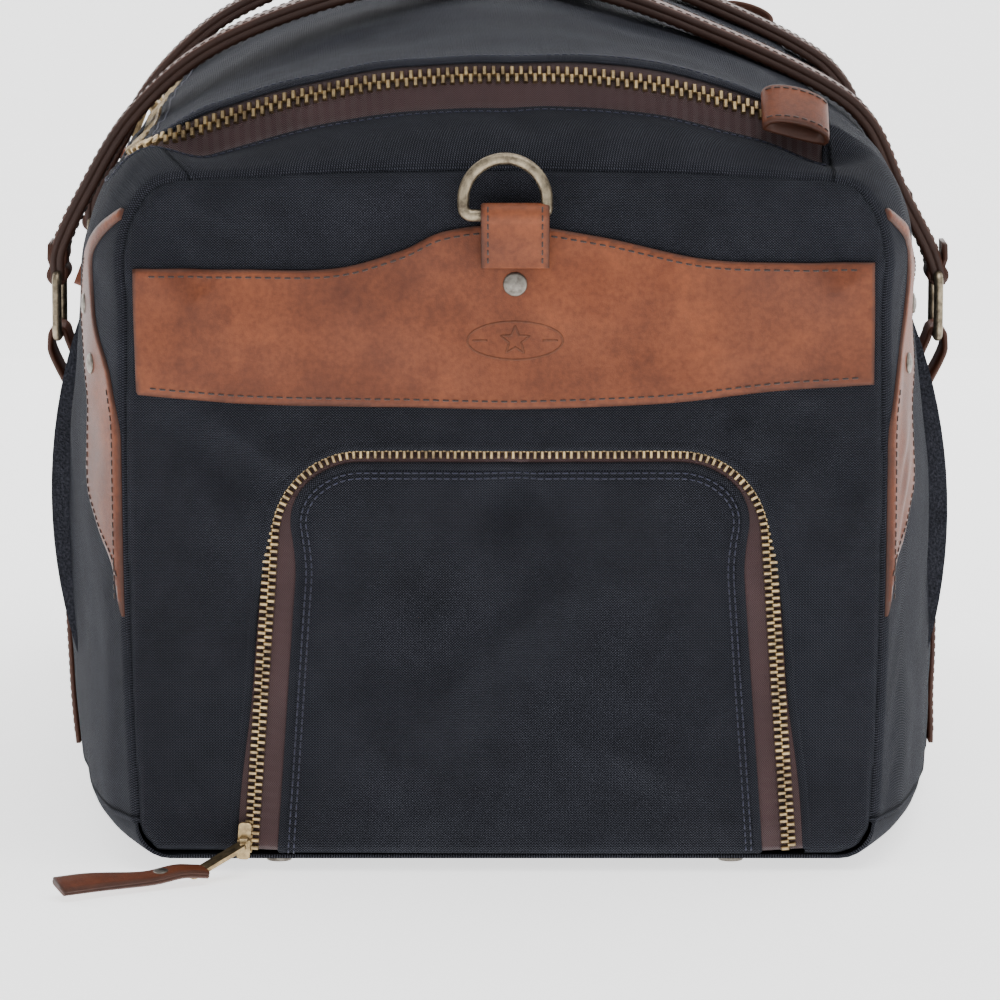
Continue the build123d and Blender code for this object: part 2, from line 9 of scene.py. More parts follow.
import bpy
import numpy as np
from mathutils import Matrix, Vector


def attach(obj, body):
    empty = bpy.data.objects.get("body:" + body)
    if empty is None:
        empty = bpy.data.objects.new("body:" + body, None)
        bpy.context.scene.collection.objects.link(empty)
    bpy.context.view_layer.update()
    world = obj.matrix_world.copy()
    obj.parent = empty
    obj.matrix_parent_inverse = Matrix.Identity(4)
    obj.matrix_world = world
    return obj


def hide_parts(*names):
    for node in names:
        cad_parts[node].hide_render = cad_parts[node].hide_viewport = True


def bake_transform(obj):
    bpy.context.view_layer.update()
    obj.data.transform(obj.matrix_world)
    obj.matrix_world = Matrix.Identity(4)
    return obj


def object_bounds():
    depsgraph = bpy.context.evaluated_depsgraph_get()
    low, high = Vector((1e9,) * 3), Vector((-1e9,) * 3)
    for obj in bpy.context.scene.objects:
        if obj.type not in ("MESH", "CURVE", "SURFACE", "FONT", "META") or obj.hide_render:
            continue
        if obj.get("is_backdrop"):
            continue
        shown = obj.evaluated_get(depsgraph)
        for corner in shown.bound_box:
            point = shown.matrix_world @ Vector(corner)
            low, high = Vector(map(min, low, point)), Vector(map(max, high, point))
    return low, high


MM = 0.001
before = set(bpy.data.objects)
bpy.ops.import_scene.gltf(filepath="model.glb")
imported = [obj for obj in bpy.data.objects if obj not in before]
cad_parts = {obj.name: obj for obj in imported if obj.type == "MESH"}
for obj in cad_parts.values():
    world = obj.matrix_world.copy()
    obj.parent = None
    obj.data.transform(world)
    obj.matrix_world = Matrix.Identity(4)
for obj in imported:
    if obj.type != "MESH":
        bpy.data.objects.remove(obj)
cad_low, cad_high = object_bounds()

# ------------------------------------------------------------------ the bag's form, in millimetres
HALF = 275.0              # half the bag's length
FOOT = 5.0                # height of the studs under the base
BASE_RADIUS = 14.0
# half widths are pairs: at the ends, and at the middle of the length. Sides are -1 left, 1 right.
BASE_HALF = (149.0, 181.0)
FLARE = 3.6               # how soon the sides swell behind the ends, and the same near the top
UPPER_FLARE = 8.0
BELLY_HALF = {-1: (152.0, 187.0), 1: (152.0, 183.0)}
UPPER_HALF = {-1: (151.5, 175.0), 1: (151.5, 166.0)}
BELLY_Z = 94.0
UPPER_Z = 234.0
END_CREST_Z, ZIP_CREST_Z, CROWN_Z = 283.0, 319.0, 340.0
SHOULDER, END_SHOULDER = (150.0, 287.0), (138.0, 281.0)
ZIP_Y = 235.0             # where the main zip crosses each end
HINGE_X = 128.0           # where the lid is sewn to the right side
ZIP_CORNER = 16.0
EDGE_ROLL = 5.0           # radius of the panels' edges at the end seams
SEAM_Y = HALF - 1.5
LID_TAPE = 5.5            # zip tape showing along the left run, to the lid and to the body
BODY_TAPE = 12.6
LID_TAPE_END = 3.4        # the same across the ends, where the form is steep
BODY_TAPE_END = 7.8
POCKET_X = 6.0            # middle of the U-shaped zip, and its half width at the foot and the top
POCKET_HALF = (108.5, 97.0)
POCKET_TOP_Z = 172.0
POCKET_CORNER = 36.0
RING_Y = 106.0            # the handles' side rings
RING_X = {-1: 190.0, 1: 184.0}
RING_LOW_Z = 198.0
RING_TALL = 26.0
SMOOTHING_PASSES = 12     # rounding where the arcs of the outline meet


def mix(pair, amount):
    return pair[0] + (pair[1] - pair[0]) * amount


def run_of(points):
    """Distance along a line of points, at each of them."""
    return np.concatenate([[0], np.cumsum(np.linalg.norm(np.diff(points, axis=0), axis=1))])


def arc3(p, q, r, count):
    """Points along the circle through p, q and r, from p to r."""
    (ax, ay), (bx, by), (cx, cy) = p, q, r
    d = 2 * (ax * (by - cy) + bx * (cy - ay) + cx * (ay - by))
    pa, pb, pc = ax * ax + ay * ay, bx * bx + by * by, cx * cx + cy * cy
    ox = (pa * (by - cy) + pb * (cy - ay) + pc * (ay - by)) / d
    oy = (pa * (cx - bx) + pb * (ax - cx) + pc * (bx - ax)) / d
    start, via, end = (math.atan2(y - oy, x - ox) for x, y in (p, q, r))
    turn = (end - start) % (2 * math.pi)
    if (via - start) % (2 * math.pi) > turn:
        turn -= 2 * math.pi
    angles = start + turn * np.linspace(0, 1, count)
    radius = math.hypot(ax - ox, ay - oy)
    return np.stack([ox + radius * np.cos(angles), oy + radius * np.sin(angles)], 1)


def section(y):
    """Outline across the bag at y, from the left base seam over the top to the right one."""
    edge = min(1.0, (HALF - abs(y)) / (HALF - ZIP_Y))
    full = 1 - (abs(y) / HALF) ** FLARE
    upper_full = 1 - (abs(y) / HALF) ** UPPER_FLARE
    turn = 1 - (1 - edge) ** 2
    crest = mix((END_CREST_Z, ZIP_CREST_Z), turn)
    crest += (CROWN_Z - ZIP_CREST_Z) * max(0.0, 1 - (y / ZIP_Y) ** 2)
    shoulder = [mix(pair, turn) for pair in zip(END_SHOULDER, SHOULDER)]
    foot = (mix(BASE_HALF, full), FOOT + BASE_RADIUS)
    halves = {}
    for side in (-1, 1):
        belly, upper = mix(BELLY_HALF[side], full), mix(UPPER_HALF[side], upper_full)
        via = ((upper + shoulder[0]) / 2 + mix((7.0, 4.0), full), (UPPER_Z + shoulder[1]) / 2 + 1.5)
        flank = arc3(foot, (belly, BELLY_Z), (upper, UPPER_Z), 70)
        bend = arc3((upper, UPPER_Z), via, tuple(shoulder), 24)[1:]
        halves[side] = np.concatenate([flank, bend]) * [side, 1]
    top = arc3((-shoulder[0], shoulder[1]), (0, crest), tuple(shoulder), 130)[1:-1]
    line = np.concatenate([halves[-1], top, halves[1][::-1]])
    soft = line.copy()
    for _ in range(SMOOTHING_PASSES):
        soft[1:-1] = (soft[:-2] + 2 * soft[1:-1] + soft[2:]) / 4
    return soft, run_of(soft), len(halves[-1]) - 1


B_STEP, Y_STEP = 1.0, 2.5
B_LOW, B_HIGH = -330.0, 700.0
B_LINE = np.arange(B_LOW, B_HIGH + B_STEP, B_STEP)
Y_LINE = np.arange(-HALF, HALF + Y_STEP / 2, Y_STEP)
FORM = np.zeros((len(Y_LINE), len(B_LINE), 2))
BASE_LEFT, BASE_RIGHT, HINGE_B = (np.zeros(len(Y_LINE)) for _ in range(3))
for i, y in enumerate(Y_LINE):
    soft, run, mark = section(y)
    b = run - run[mark]      # 0 at the left shoulder, where the main zip lies
    FORM[i, :, 0] = np.interp(B_LINE, b, soft[:, 0])
    FORM[i, :, 1] = np.interp(B_LINE, b, soft[:, 1])
    BASE_LEFT[i], BASE_RIGHT[i] = b[0], b[-1]
    top = (soft[:, 1] > UPPER_Z) & (soft[:, 0] > 0)
    HINGE_B[i] = np.interp(HINGE_X, soft[top, 0], b[top])


def fade(value, low, high):
    t = np.clip((value - low) / (high - low), 0, 1)
    return t * t * (3 - 2 * t)


def at_y(table, y):
    return np.interp(y, Y_LINE, table)


def lookup(table, y, place):
    """Values between a table's entries, at y and at a place counted along its second axis."""
    fy = np.clip((y + HALF) / Y_STEP, 0, len(Y_LINE) - 1.001)
    fp = np.clip(place, 0, table.shape[1] - 1.001)
    iy, ip = fy.astype(int), fp.astype(int)
    ty, tp = fy - iy, fp - ip
    if table.ndim == 3:
        ty, tp = ty[..., None], tp[..., None]
    low = table[iy, ip] * (1 - tp) + table[iy, ip + 1] * tp
    high = table[iy + 1, ip] * (1 - tp) + table[iy + 1, ip + 1] * tp
    return low * (1 - ty) + high * ty


# height of the step that the zip climbs across each end, over the plain form
STEP_Y = (0, 100, 150, 200, 224, 230, 232.5, 235, 238, 241, 244, 249, 256, 264, 275)
STEP_Z = (0, 0, 1.2, 3.4, 5.2, 5.4, 4.4, 0.0, -6.6, -11.0, -12.2, -11.0, -8.0, -4.0, 0)
STEP_PLACES = np.arange(0, 276, 0.5)
STEP_LINE = np.interp(STEP_PLACES, STEP_Y, STEP_Z)
STEP_LINE = np.convolve(np.pad(STEP_LINE, 2, "edge"), np.array([1, 2, 3, 2, 1]) / 9, "valid")


def bare(y, b):
    """Points on the unwrinkled form, b being the distance along the outline from the left zip line."""
    y, b = np.broadcast_arrays(np.asarray(y, float), np.asarray(b, float))
    xz = lookup(FORM, y, (b - B_LOW) / B_STEP)
    climb = np.interp(np.abs(y), STEP_PLACES, STEP_LINE)
    from_right = at_y(HINGE_B, y) + 30 - b
    climb = climb * fade(b, 4, 34) * fade(from_right, 0, 34)
    return np.stack([xz[..., 0], y, xz[..., 1] + climb], -1)


def unit(v):
    return v / np.maximum(np.linalg.norm(v, axis=-1, keepdims=True), 1e-9)


def form_normal(y, b, step=1.5):
    """Outward direction of the unwrinkled form."""
    y = np.clip(y, -HALF + step, HALF - step)
    low, high = at_y(BASE_LEFT, y) + step, at_y(BASE_RIGHT, y) - step
    b = np.clip(b, low, high)
    return unit(np.cross(bare(y, b + step) - bare(y, b - step), bare(y + step, b) - bare(y - step, b)))


def waves(u, v, size, seed, terms=14):
    """Smooth noise of about one, with features of a size, the same each run."""
    rng = np.random.RandomState(seed)
    total = np.zeros(np.broadcast(u, v).shape)
    for _ in range(terms):
        angle, phase = rng.uniform(0, 2 * math.pi, 2)
        pitch = size * rng.uniform(0.7, 1.8)
        total += np.sin((u * math.cos(angle) + v * math.sin(angle)) * 2 * math.pi / pitch + phase)
    return total / math.sqrt(terms)


def ridge(u, v, start, end, width, height):
    """A fold from start to end that fades at both of its ends."""
    (ax, ay), (bx, by) = start, end
    length = math.hypot(bx - ax, by - ay)
    dx, dy = (bx - ax) / length, (by - ay) / length
    along = ((u - ax) * dx + (v - ay) * dy) / length
    away = -(u - ax) * dy + (v - ay) * dx
    taper = np.clip(1 - (2 * np.clip(along, -0.2, 1.2) - 1) ** 4, 0, 1)
    return height * taper * np.exp(-(away / width) ** 2)


def side_bump(y, b):
    """Wrinkles of the sides, gussets and lid, outwards."""
    bump = 1.1 * waves(y, b, 120, 3) + 0.4 * waves(y, b, 38, 4)
    front = np.exp(-((np.abs(y) - SEAM_Y) / 26.0) ** 2)
    bump += (front * np.sin(b / 6.5 + 1.2 * waves(y, b, 60, 8))
             * np.clip(waves(b, y * 0, 90, 9), 0, 1))
    gusset = np.exp(-((np.abs(y) - 260) / 9.0) ** 2) * fade(b, 10, 40)
    bump += (gusset * 0.9 * np.sin(b / 4.2 + 1.5 * waves(y, b, 45, 18))
             * fade(waves(b, y * 0, 70, 19), 0.1, 1.2))
    return bump


def skin(y, b, lift=0.0):
    """Points on the canvas, rolled in at the end seams, raised by lift."""
    y, b = np.broadcast_arrays(np.asarray(y, float), np.asarray(b, float))
    normal = form_normal(y, b)
    past = np.clip(np.abs(y) - (HALF - EDGE_ROLL), 0, EDGE_ROLL)
    roll = EDGE_ROLL - np.sqrt(EDGE_ROLL ** 2 - past ** 2)
    tuck = 0.9 * np.exp(-((np.abs(y) - SEAM_Y) / 1.2) ** 2)
    rise = side_bump(y, b) * fade(SEAM_Y - np.abs(y), 2, 22) - roll - tuck
    return bare(y, b) + normal * (rise + lift)[..., None], normal


def outline_distance(u, v, polygon):
    """Distance in from a closed outline, negative outside it."""
    u, v = np.asarray(u, float), np.asarray(v, float)
    best = np.full(u.shape, 1e9)
    inside = np.zeros(u.shape, bool)
    for (ax, ay), (bx, by) in zip(polygon, np.roll(polygon, -1, axis=0)):
        dx, dy = bx - ax, by - ay
        size = dx * dx + dy * dy
        if size < 1e-9:
            continue
        t = np.clip(((u - ax) * dx + (v - ay) * dy) / size, 0, 1)
        best = np.minimum(best, np.hypot(u - ax - t * dx, v - ay - t * dy))
        crossing = (ay > v) != (by > v)
        with np.errstate(divide="ignore", invalid="ignore"):
            inside ^= crossing & (u < ax + (v - ay) * dx / (dy if dy else 1e-9))
    return np.where(inside, best, -best)


end_top = section(SEAM_Y)[0]
turn = np.linspace(0.2, math.pi / 2, 7)
base_corner = np.stack([BASE_HALF[0] - BASE_RADIUS * (1 - np.cos(turn)),
                        FOOT + BASE_RADIUS * (1 - np.sin(turn))], 1)
END_OUTLINE = np.concatenate([
    end_top, [[end_top[-1][0], FOOT + BASE_RADIUS]], base_corner, (base_corner * [-1, 1])[::-1],
])[::3]


def end_inset(x, z):
    """Distance in from an end panel's outline."""
    return outline_distance(x, z, END_OUTLINE)


# creases of the end panels: start, end, width and height
FOLDS = [
    ((-118, 187), (-84, 163), 5.0, 1.6),
    ((-130, 178), (-100, 150), 7.0, -1.2),
    ((92, 182), (104, 170), 4.0, 1.2),
    ((118, 190), (140, 150), 8.0, -1.4),
    ((-42, 58), (38, 128), 9.0, 1.7),
    ((-8, 140), (14, 160), 14.0, -2.2),
    ((-128, 276), (-104, 262), 5.0, 1.5),
    ((-140, 262), (-120, 235), 6.0, -1.2),
    ((120, 270), (138, 240), 7.0, -1.3),
    ((20, 60), (92, 28), 8.0, 1.1),
    ((-80, 120), (-60, 40), 12.0, 1.2),
]


def end_bump(x, z):
    bump = 1.3 * waves(x, z, 120, 11) + 0.5 * waves(x, z, 36, 12)
    for start, end, width, height in FOLDS:
        bump = bump + ridge(x, z, start, end, width, 2.2 * height)
    return bump


def end_face(x, z, lift=0.0, bumps=True, end=-1):
    """Points on an end panel, rolled back along its outline."""
    x, z = np.broadcast_arrays(np.asarray(x, float), np.asarray(z, float))
    inset = np.clip(end_inset(x, z), 0, None)
    pillow = (2.2 * (1 - np.clip(x / 152, -1, 1) ** 2)
              * (1 - np.clip((z - 120) / 165, -1, 1) ** 2))
    near = np.clip(EDGE_ROLL - inset, 0, EDGE_ROLL)
    roll = EDGE_ROLL - np.sqrt(EDGE_ROLL ** 2 - near ** 2)
    tuck = 0.9 * np.exp(-((inset - 1.5) / 1.2) ** 2)
    wrinkle = end_bump(x, z) * fade(inset, 3, 16) if bumps else 0.0
    depth = HALF + pillow + wrinkle - roll - tuck + lift
    return np.stack([x, end * depth, z], -1)


def end_normal(x, z, end=-1, step=3.0):
    right, left, high, low = (end_face(x + step * i, z + step * k, bumps=False, end=end)
                              for i, k in ((1, 0), (-1, 0), (0, 1), (0, -1)))
    normal = unit(np.cross(right - left, high - low))
    return normal * np.sign(normal[..., 1:2] * end + 1e-9)


# ------------------------------------------------------------------ materials
def new_material(name, colour, roughness, **constants):
    """A principled material whose constants are set on its own sockets."""
    material = bpy.data.materials.new(name)
    material.use_nodes = True
    tree = material.node_tree
    shader = tree.nodes["Principled BSDF"]
    shader.inputs["Base Color"].default_value = (*colour, 1)
    shader.inputs["Roughness"].default_value = roughness
    for socket, value in constants.items():
        shader.inputs[socket.replace("_", " ")].default_value = value
    return material, tree, shader


def node(tree, kind, inputs=(), **settings):
    made = tree.nodes.new(kind)
    for key, value in settings.items():
        setattr(made, key, value)
    for key, value in dict(inputs).items():
        if isinstance(value, bpy.types.NodeSocket):
            tree.links.new(value, made.inputs[key])
        else:
            made.inputs[key].default_value = value
    return made


def math_node(tree, operation, a, b=0.0):
    return node(tree, "ShaderNodeMath", {0: a, 1: b}, operation=operation).outputs[0]


def times(tree, a, b):
    return math_node(tree, "MULTIPLY", a, b)


def plus(tree, a, b):
    return math_node(tree, "ADD", a, b)


def object_place(tree):
    return node(tree, "ShaderNodeTexCoord").outputs["Object"]


def noise(tree, scale, detail=4.0, roughness=0.55):
    return node(tree, "ShaderNodeTexNoise", {
        "Scale": scale, "Detail": detail, "Roughness": roughness, "Vector": object_place(tree),
    }).outputs["Fac"]


def ramp(tree, factor, stops):
    made = node(tree, "ShaderNodeValToRGB", {"Fac": factor})
    elements = made.color_ramp.elements
    while len(elements) < len(stops):
        elements.new(0.5)
    for element, (place, colour) in zip(elements, stops):
        element.position = place
        element.color = (*colour, 1)
    return made.outputs["Color"]


def blend_colour(tree, factor, a, b, mode="MIX"):
    made = node(tree, "ShaderNodeMix", data_type="RGBA", blend_type=mode)
    for index, value in ((0, factor), (6, a), (7, b)):
        if isinstance(value, bpy.types.NodeSocket):
            tree.links.new(value, made.inputs[index])
        else:
            made.inputs[index].default_value = value if index == 0 else (*value, 1)
    return made.outputs[2]


def bump(tree, shader, height, distance, strength=1.0):
    made = node(tree, "ShaderNodeBump", {"Height": height, "Distance": distance, "Strength": strength})
    tree.links.new(made.outputs["Normal"], shader.inputs["Normal"])


def cloth_threads(tree, pitch_u, pitch_v):
    """Height of a plain weave, and of its cross ribs, in the piece's cloth coordinates in metres."""
    uv = node(tree, "ShaderNodeUVMap", uv_map="cloth").outputs["UV"]
    parts = node(tree, "ShaderNodeSeparateXYZ", {0: uv})
    wobble = times(tree, noise(tree, 900, 2), 1.6)
    rib_u = times(tree, parts.outputs[0], 2 * math.pi / pitch_u)
    rib_v = times(tree, parts.outputs[1], 2 * math.pi / pitch_v)
    sine_u = math_node(tree, "SINE", plus(tree, rib_u, wobble))
    sine_v = math_node(tree, "SINE", plus(tree, rib_v, wobble))
    return times(tree, sine_u, sine_v), sine_v


def canvas_material(name, tone=1.0):
    material, tree, shader = new_material(
        name, (0.02, 0.02, 0.026), 0.86, Sheen_Weight=0.05, Sheen_Roughness=0.4,
        Sheen_Tint=(0.62, 0.70, 0.85, 1), Specular_IOR_Level=0.12,
    )
    weave, rib_v = cloth_threads(tree, 0.00115, 0.00105)
    cloud = noise(tree, 14, 5, 0.6)
    base = ramp(tree, cloud, [
        (0.30, (0.0016 * tone, 0.0018 * tone, 0.0034 * tone)),
        (0.62, (0.0048 * tone, 0.0052 * tone, 0.0086 * tone)),
    ])
    wear = ramp(tree, noise(tree, 46, 7, 0.72), [
        (0.34, (0.78, 0.78, 0.78)), (0.52, (1, 1, 1)), (0.70, (1.25, 1.25, 1.22))])
    thread = times(tree, plus(tree, weave, 1.0), 0.5)
    fleck = noise(tree, 1300, 2, 0.7)
    lit = blend_colour(tree, math_node(tree, "POWER", thread, 3.0), base,
                       (0.080 * tone, 0.083 * tone, 0.106 * tone))
    lit = blend_colour(tree, 1.0, lit, wear, "MULTIPLY")
    lint = ramp(tree, fleck, [(0.66, (0, 0, 0)), (0.80, (0.03, 0.031, 0.036))])
    lit = blend_colour(tree, 0.55, lit, lint, "ADD")
    tree.links.new(lit, shader.inputs["Base Color"])
    ribs = plus(tree, times(tree, weave, 0.8), times(tree, rib_v, 0.45))
    height = plus(tree, ribs, times(tree, fleck, 0.8))
    bump(tree, shader, height, 0.00055, 1.0)
    return material


def tape_material():
    material, tree, shader = new_material(
        "zip_tape", (0.06, 0.028, 0.03), 0.8, Sheen_Weight=0.2, Specular_IOR_Level=0.25)
    uv = node(tree, "ShaderNodeUVMap", uv_map="cloth").outputs["UV"]
    parts = node(tree, "ShaderNodeSeparateXYZ", {0: uv})
    zig = math_node(tree, "PINGPONG", parts.outputs[1], 0.0022)
    slant = plus(tree, parts.outputs[0], zig)
    rib = math_node(tree, "SINE", times(tree, slant, 2 * math.pi / 0.0009))
    shade = times(tree, plus(tree, rib, 1.0), 0.5)
    colour = blend_colour(tree, shade, (0.033, 0.0135, 0.0145), (0.098, 0.048, 0.050))
    colour = blend_colour(tree, 0.5, colour, ramp(tree, noise(tree, 60), [
        (0.35, (0.6, 0.6, 0.6)), (0.7, (1.0, 1.0, 1.0))]), "MULTIPLY")
    tree.links.new(colour, shader.inputs["Base Color"])
    bump(tree, shader, rib, 0.00022, 0.9)
    return material


def leather_material(name, light, dark, edge_dark=0.75):
    material, tree, shader = new_material(
        name, light, 0.5, Specular_IOR_Level=0.30, Coat_Weight=0.04, Coat_Roughness=0.35)
    cloud = noise(tree, 11, 6, 0.62)
    base = ramp(tree, cloud, [(0.34, dark), (0.60, light)])
    speck = noise(tree, 420, 3, 0.6)
    base = blend_colour(tree, 0.45, base, ramp(tree, speck, [
        (0.35, (0.62, 0.58, 0.55)), (0.62, (1.15, 1.15, 1.15))]), "MULTIPLY")
    stain = ramp(tree, noise(tree, 38, 4, 0.7), [(0.38, (0.72, 0.66, 0.62)), (0.52, (1, 1, 1))])
    base = blend_colour(tree, 0.75, base, stain, "MULTIPLY")
    # darker where the edge attribute is high: dark leather edges, and painted shade on the undersides and
    # backs of straps and patches
    dark_edges_and_painted_shade = node(tree, "ShaderNodeAttribute", attribute_name="edge").outputs["Fac"]
    base = blend_colour(tree, times(tree, dark_edges_and_painted_shade, edge_dark), base, (0.030, 0.014, 0.010))
    tree.links.new(base, shader.inputs["Base Color"])
    cells = node(tree, "ShaderNodeTexVoronoi", {"Scale": 1150.0, "Vector": object_place(tree)},
                 feature="DISTANCE_TO_EDGE").outputs["Distance"]
    pores = math_node(tree, "MINIMUM", cells, 0.12)
    height = plus(tree, times(tree, pores, 3.0), times(tree, noise(tree, 260, 4, 0.6), 0.7))
    bump(tree, shader, height, 0.00022, 0.55)
    gloss = node(tree, "ShaderNodeMapRange", {"Value": cloud, "To Min": 0.40, "To Max": 0.62})
    tree.links.new(gloss.outputs[0], shader.inputs["Roughness"])
    return material


def metal_material(name, bright, dark, roughness):
    material, tree, shader = new_material(name, bright, roughness, Metallic=1.0)
    tarnish = noise(tree, 260, 5, 0.65)
    tree.links.new(ramp(tree, tarnish, [(0.36, dark), (0.60, bright)]), shader.inputs["Base Color"])
    rough = node(tree, "ShaderNodeMapRange", {
        "Value": noise(tree, 700, 3), "To Min": roughness - 0.1, "To Max": roughness + 0.18})
    tree.links.new(rough.outputs[0], shader.inputs["Roughness"])
    bump(tree, shader, noise(tree, 900, 3), 0.00008, 0.5)
    return material


def thread_material(name, colour):
    material, tree, shader = new_material(name, colour, 0.7, Sheen_Weight=0.2)
    twist = noise(tree, 2600, 1)
    tree.links.new(ramp(tree, twist, [
        (0.3, tuple(c * 0.55 for c in colour)), (0.7, tuple(c * 1.5 for c in colour))]),
        shader.inputs["Base Color"])
    bump(tree, shader, twist, 0.0002, 0.6)
    return material


MATERIALS = {
    "canvas": canvas_material("canvas"),
    # the lid's canvas is the same cloth made 1.25 times lighter: painted light on the lid, which faces up to
    # the lamps
    "lid_canvas": canvas_material("lid_canvas", 1.25),
    "lining": canvas_material("lining", 0.7),
    "tape": tape_material(),
    "leather": leather_material("leather", (0.225, 0.062, 0.022), (0.092, 0.022, 0.008)),
    "handle": leather_material("handle_leather", (0.135, 0.040, 0.018), (0.075, 0.022, 0.011), 0.92),
    "brass": metal_material("brass", (0.52, 0.39, 0.21), (0.20, 0.145, 0.085), 0.36),
    "old_brass": metal_material("old_brass", (0.36, 0.30, 0.21), (0.13, 0.105, 0.075), 0.40),
    "rivet": metal_material("rivet", (0.27, 0.25, 0.22), (0.12, 0.105, 0.09), 0.42),
    "stamp": leather_material("stamped_leather", (0.150, 0.044, 0.016), (0.090, 0.026, 0.010)),
    "thread": thread_material("thread", (0.030, 0.014, 0.010)),
    "navy_thread": thread_material("navy_thread", (0.012, 0.014, 0.040)),
}


# ------------------------------------------------------------------ mesh making
def make_mesh(name, points, faces, look, body, replaces=(), cloth=None, edge=None, flat=False):
    """A piece from points in millimetres. cloth is its weave's place, edge how dark it is painted: dark
    leather edges, and painted shade on undersides and backs.
    """
    mesh = bpy.data.meshes.new(name)
    mesh.from_pydata((np.asarray(points) * MM).tolist(), [], faces)
    mesh.materials.append(MATERIALS[look])
    if cloth is not None:
        layer = mesh.uv_layers.new(name="cloth")
        loops = np.zeros(len(mesh.loops), int)
        mesh.loops.foreach_get("vertex_index", loops)
        layer.data.foreach_set("uv", (np.asarray(cloth)[loops] * MM).ravel())
    if edge is not None:
        attribute = mesh.attributes.new("edge", "FLOAT", "POINT")
        attribute.data.foreach_set("value", np.asarray(edge, float).ravel())
    mesh.update()
    mesh.polygons.foreach_set("use_smooth", [not flat] * len(mesh.polygons))
    piece = bpy.data.objects.new(name, mesh)
    bpy.context.collection.objects.link(piece)
    if body == "hinge":
        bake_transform(piece)
    else:
        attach(piece, body)
    if replaces:
        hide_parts(*replaces)
    return piece


def grid_faces(rows, cols, start=0, flip=False):
    faces = []
    for i in range(rows - 1):
        for j in range(cols - 1):
            a = start + i * cols + j
            quad = (a, a + 1, a + cols + 1, a + cols)
            faces.append(quad[::-1] if flip else quad)
    return faces


def thick_sheet(name, outer, normal, thickness, cloth, look, body, replaces=()):
    """A grid of outer points given a back and a rim."""
    rows, cols = outer.shape[:2]
    count = rows * cols
    points = np.concatenate([outer.reshape(-1, 3), (outer - normal * thickness).reshape(-1, 3)])
    faces = grid_faces(rows, cols) + grid_faces(rows, cols, count, True)
    border = list(range(cols)) + [i * cols + cols - 1 for i in range(1, rows)]
    border += [(rows - 1) * cols + j for j in range(cols - 2, -1, -1)]
    border += [i * cols for i in range(rows - 2, 0, -1)]
    for a, b in zip(border, border[1:] + border[:1]):
        faces.append((a, a + count, b + count, b))
    cloth = np.concatenate([cloth.reshape(-1, 2)] * 2)
    return make_mesh(name, points, faces, look, body, replaces, cloth)


def rounded(distance, radius):
    """Height, from 0 at an edge to 1 a radius in, of a rounded edge."""
    near = 1 - np.clip(distance / radius, 0, 1)
    return np.sqrt(np.clip(1 - near ** 2, 0, 1))


def spaced(points, pitch, start=0.0):
    """Places every pitch along a line of points, as fractions of its point index."""
    run = run_of(points)
    places = np.arange(start, run[-1], pitch)
    return np.interp(places, run, np.arange(len(points)))


def sample(values, places):
    """Values between a list's entries."""
    low = np.clip(places.astype(int), 0, len(values) - 2)
    part = (places - low)[:, None]
    return values[low] * (1 - part) + values[low + 1] * part


def stitches(name, rows, look, body, pitch=3.6, length=2.7, radius=0.36, lift=0.1):
    """Rows of single thread stitches, each row a pair of points and normals."""
    points, faces = [], []
    ring = [(math.cos(a), math.sin(a)) for a in np.linspace(0, 2 * math.pi, 7)[:-1]]
    for line, normals in rows:
        places = spaced(line, pitch, pitch / 2)
        centres, ups = sample(line, places), unit(sample(normals, places))
        ahead = unit(sample(line, np.minimum(places + 0.3, len(line) - 1.001))
                     - sample(line, np.maximum(places - 0.3, 0)))
        across = np.cross(ahead, ups)
        for c, t, s, n in zip(centres, ahead, across, ups):
            base = len(points)
            for along, size, rise in ((-0.5, 0.35, -0.3), (-0.36, 0.9, 0.05), (0.36, 0.9, 0.05),
                                      (0.5, 0.35, -0.3)):
                spot = c + t * along * length + n * (lift + rise)
                points += [spot + (s * x + n * y) * radius * size for x, y in ring]
            for k in range(3):
                for j in range(6):
                    a, b = base + k * 6 + j, base + k * 6 + (j + 1) % 6
                    faces.append((a, b, b + 6, a + 6))
            faces.append(tuple(base + j for j in range(5, -1, -1)))
            faces.append(tuple(base + 18 + j for j in range(6)))
    return make_mesh(name, points, faces, look, body)


def sweep(name, line, across, outward, outline, look, body, replaces=(), closed=False,
          edge_of=None):
    """A closed outline (across, outward) carried along a line of frames."""
    outline = np.asarray(outline, float)
    count = len(outline)
    ring = line[:, None] + across[:, None] * outline[None, :, :1] + outward[:, None] * outline[None, :, 1:]
    points = ring.reshape(-1, 3)
    total = len(line)
    faces = []
    for i in range(total if closed else total - 1):
        for j in range(count):
            k = (j + 1) % count
            n = (i + 1) % total
            faces.append((i * count + j, i * count + k, n * count + k, n * count + j))
    if not closed:
        faces.append(tuple(range(count - 1, -1, -1)))
        faces.append(tuple((total - 1) * count + j for j in range(count)))
    uv = np.stack(np.broadcast_arrays(outline[None, :, 0], run_of(line)[:, None]), -1).reshape(-1, 2)
    edge = np.tile(edge_of if edge_of is not None else np.zeros(count), total)
    return make_mesh(name, points, faces, look, body, replaces, uv, edge)


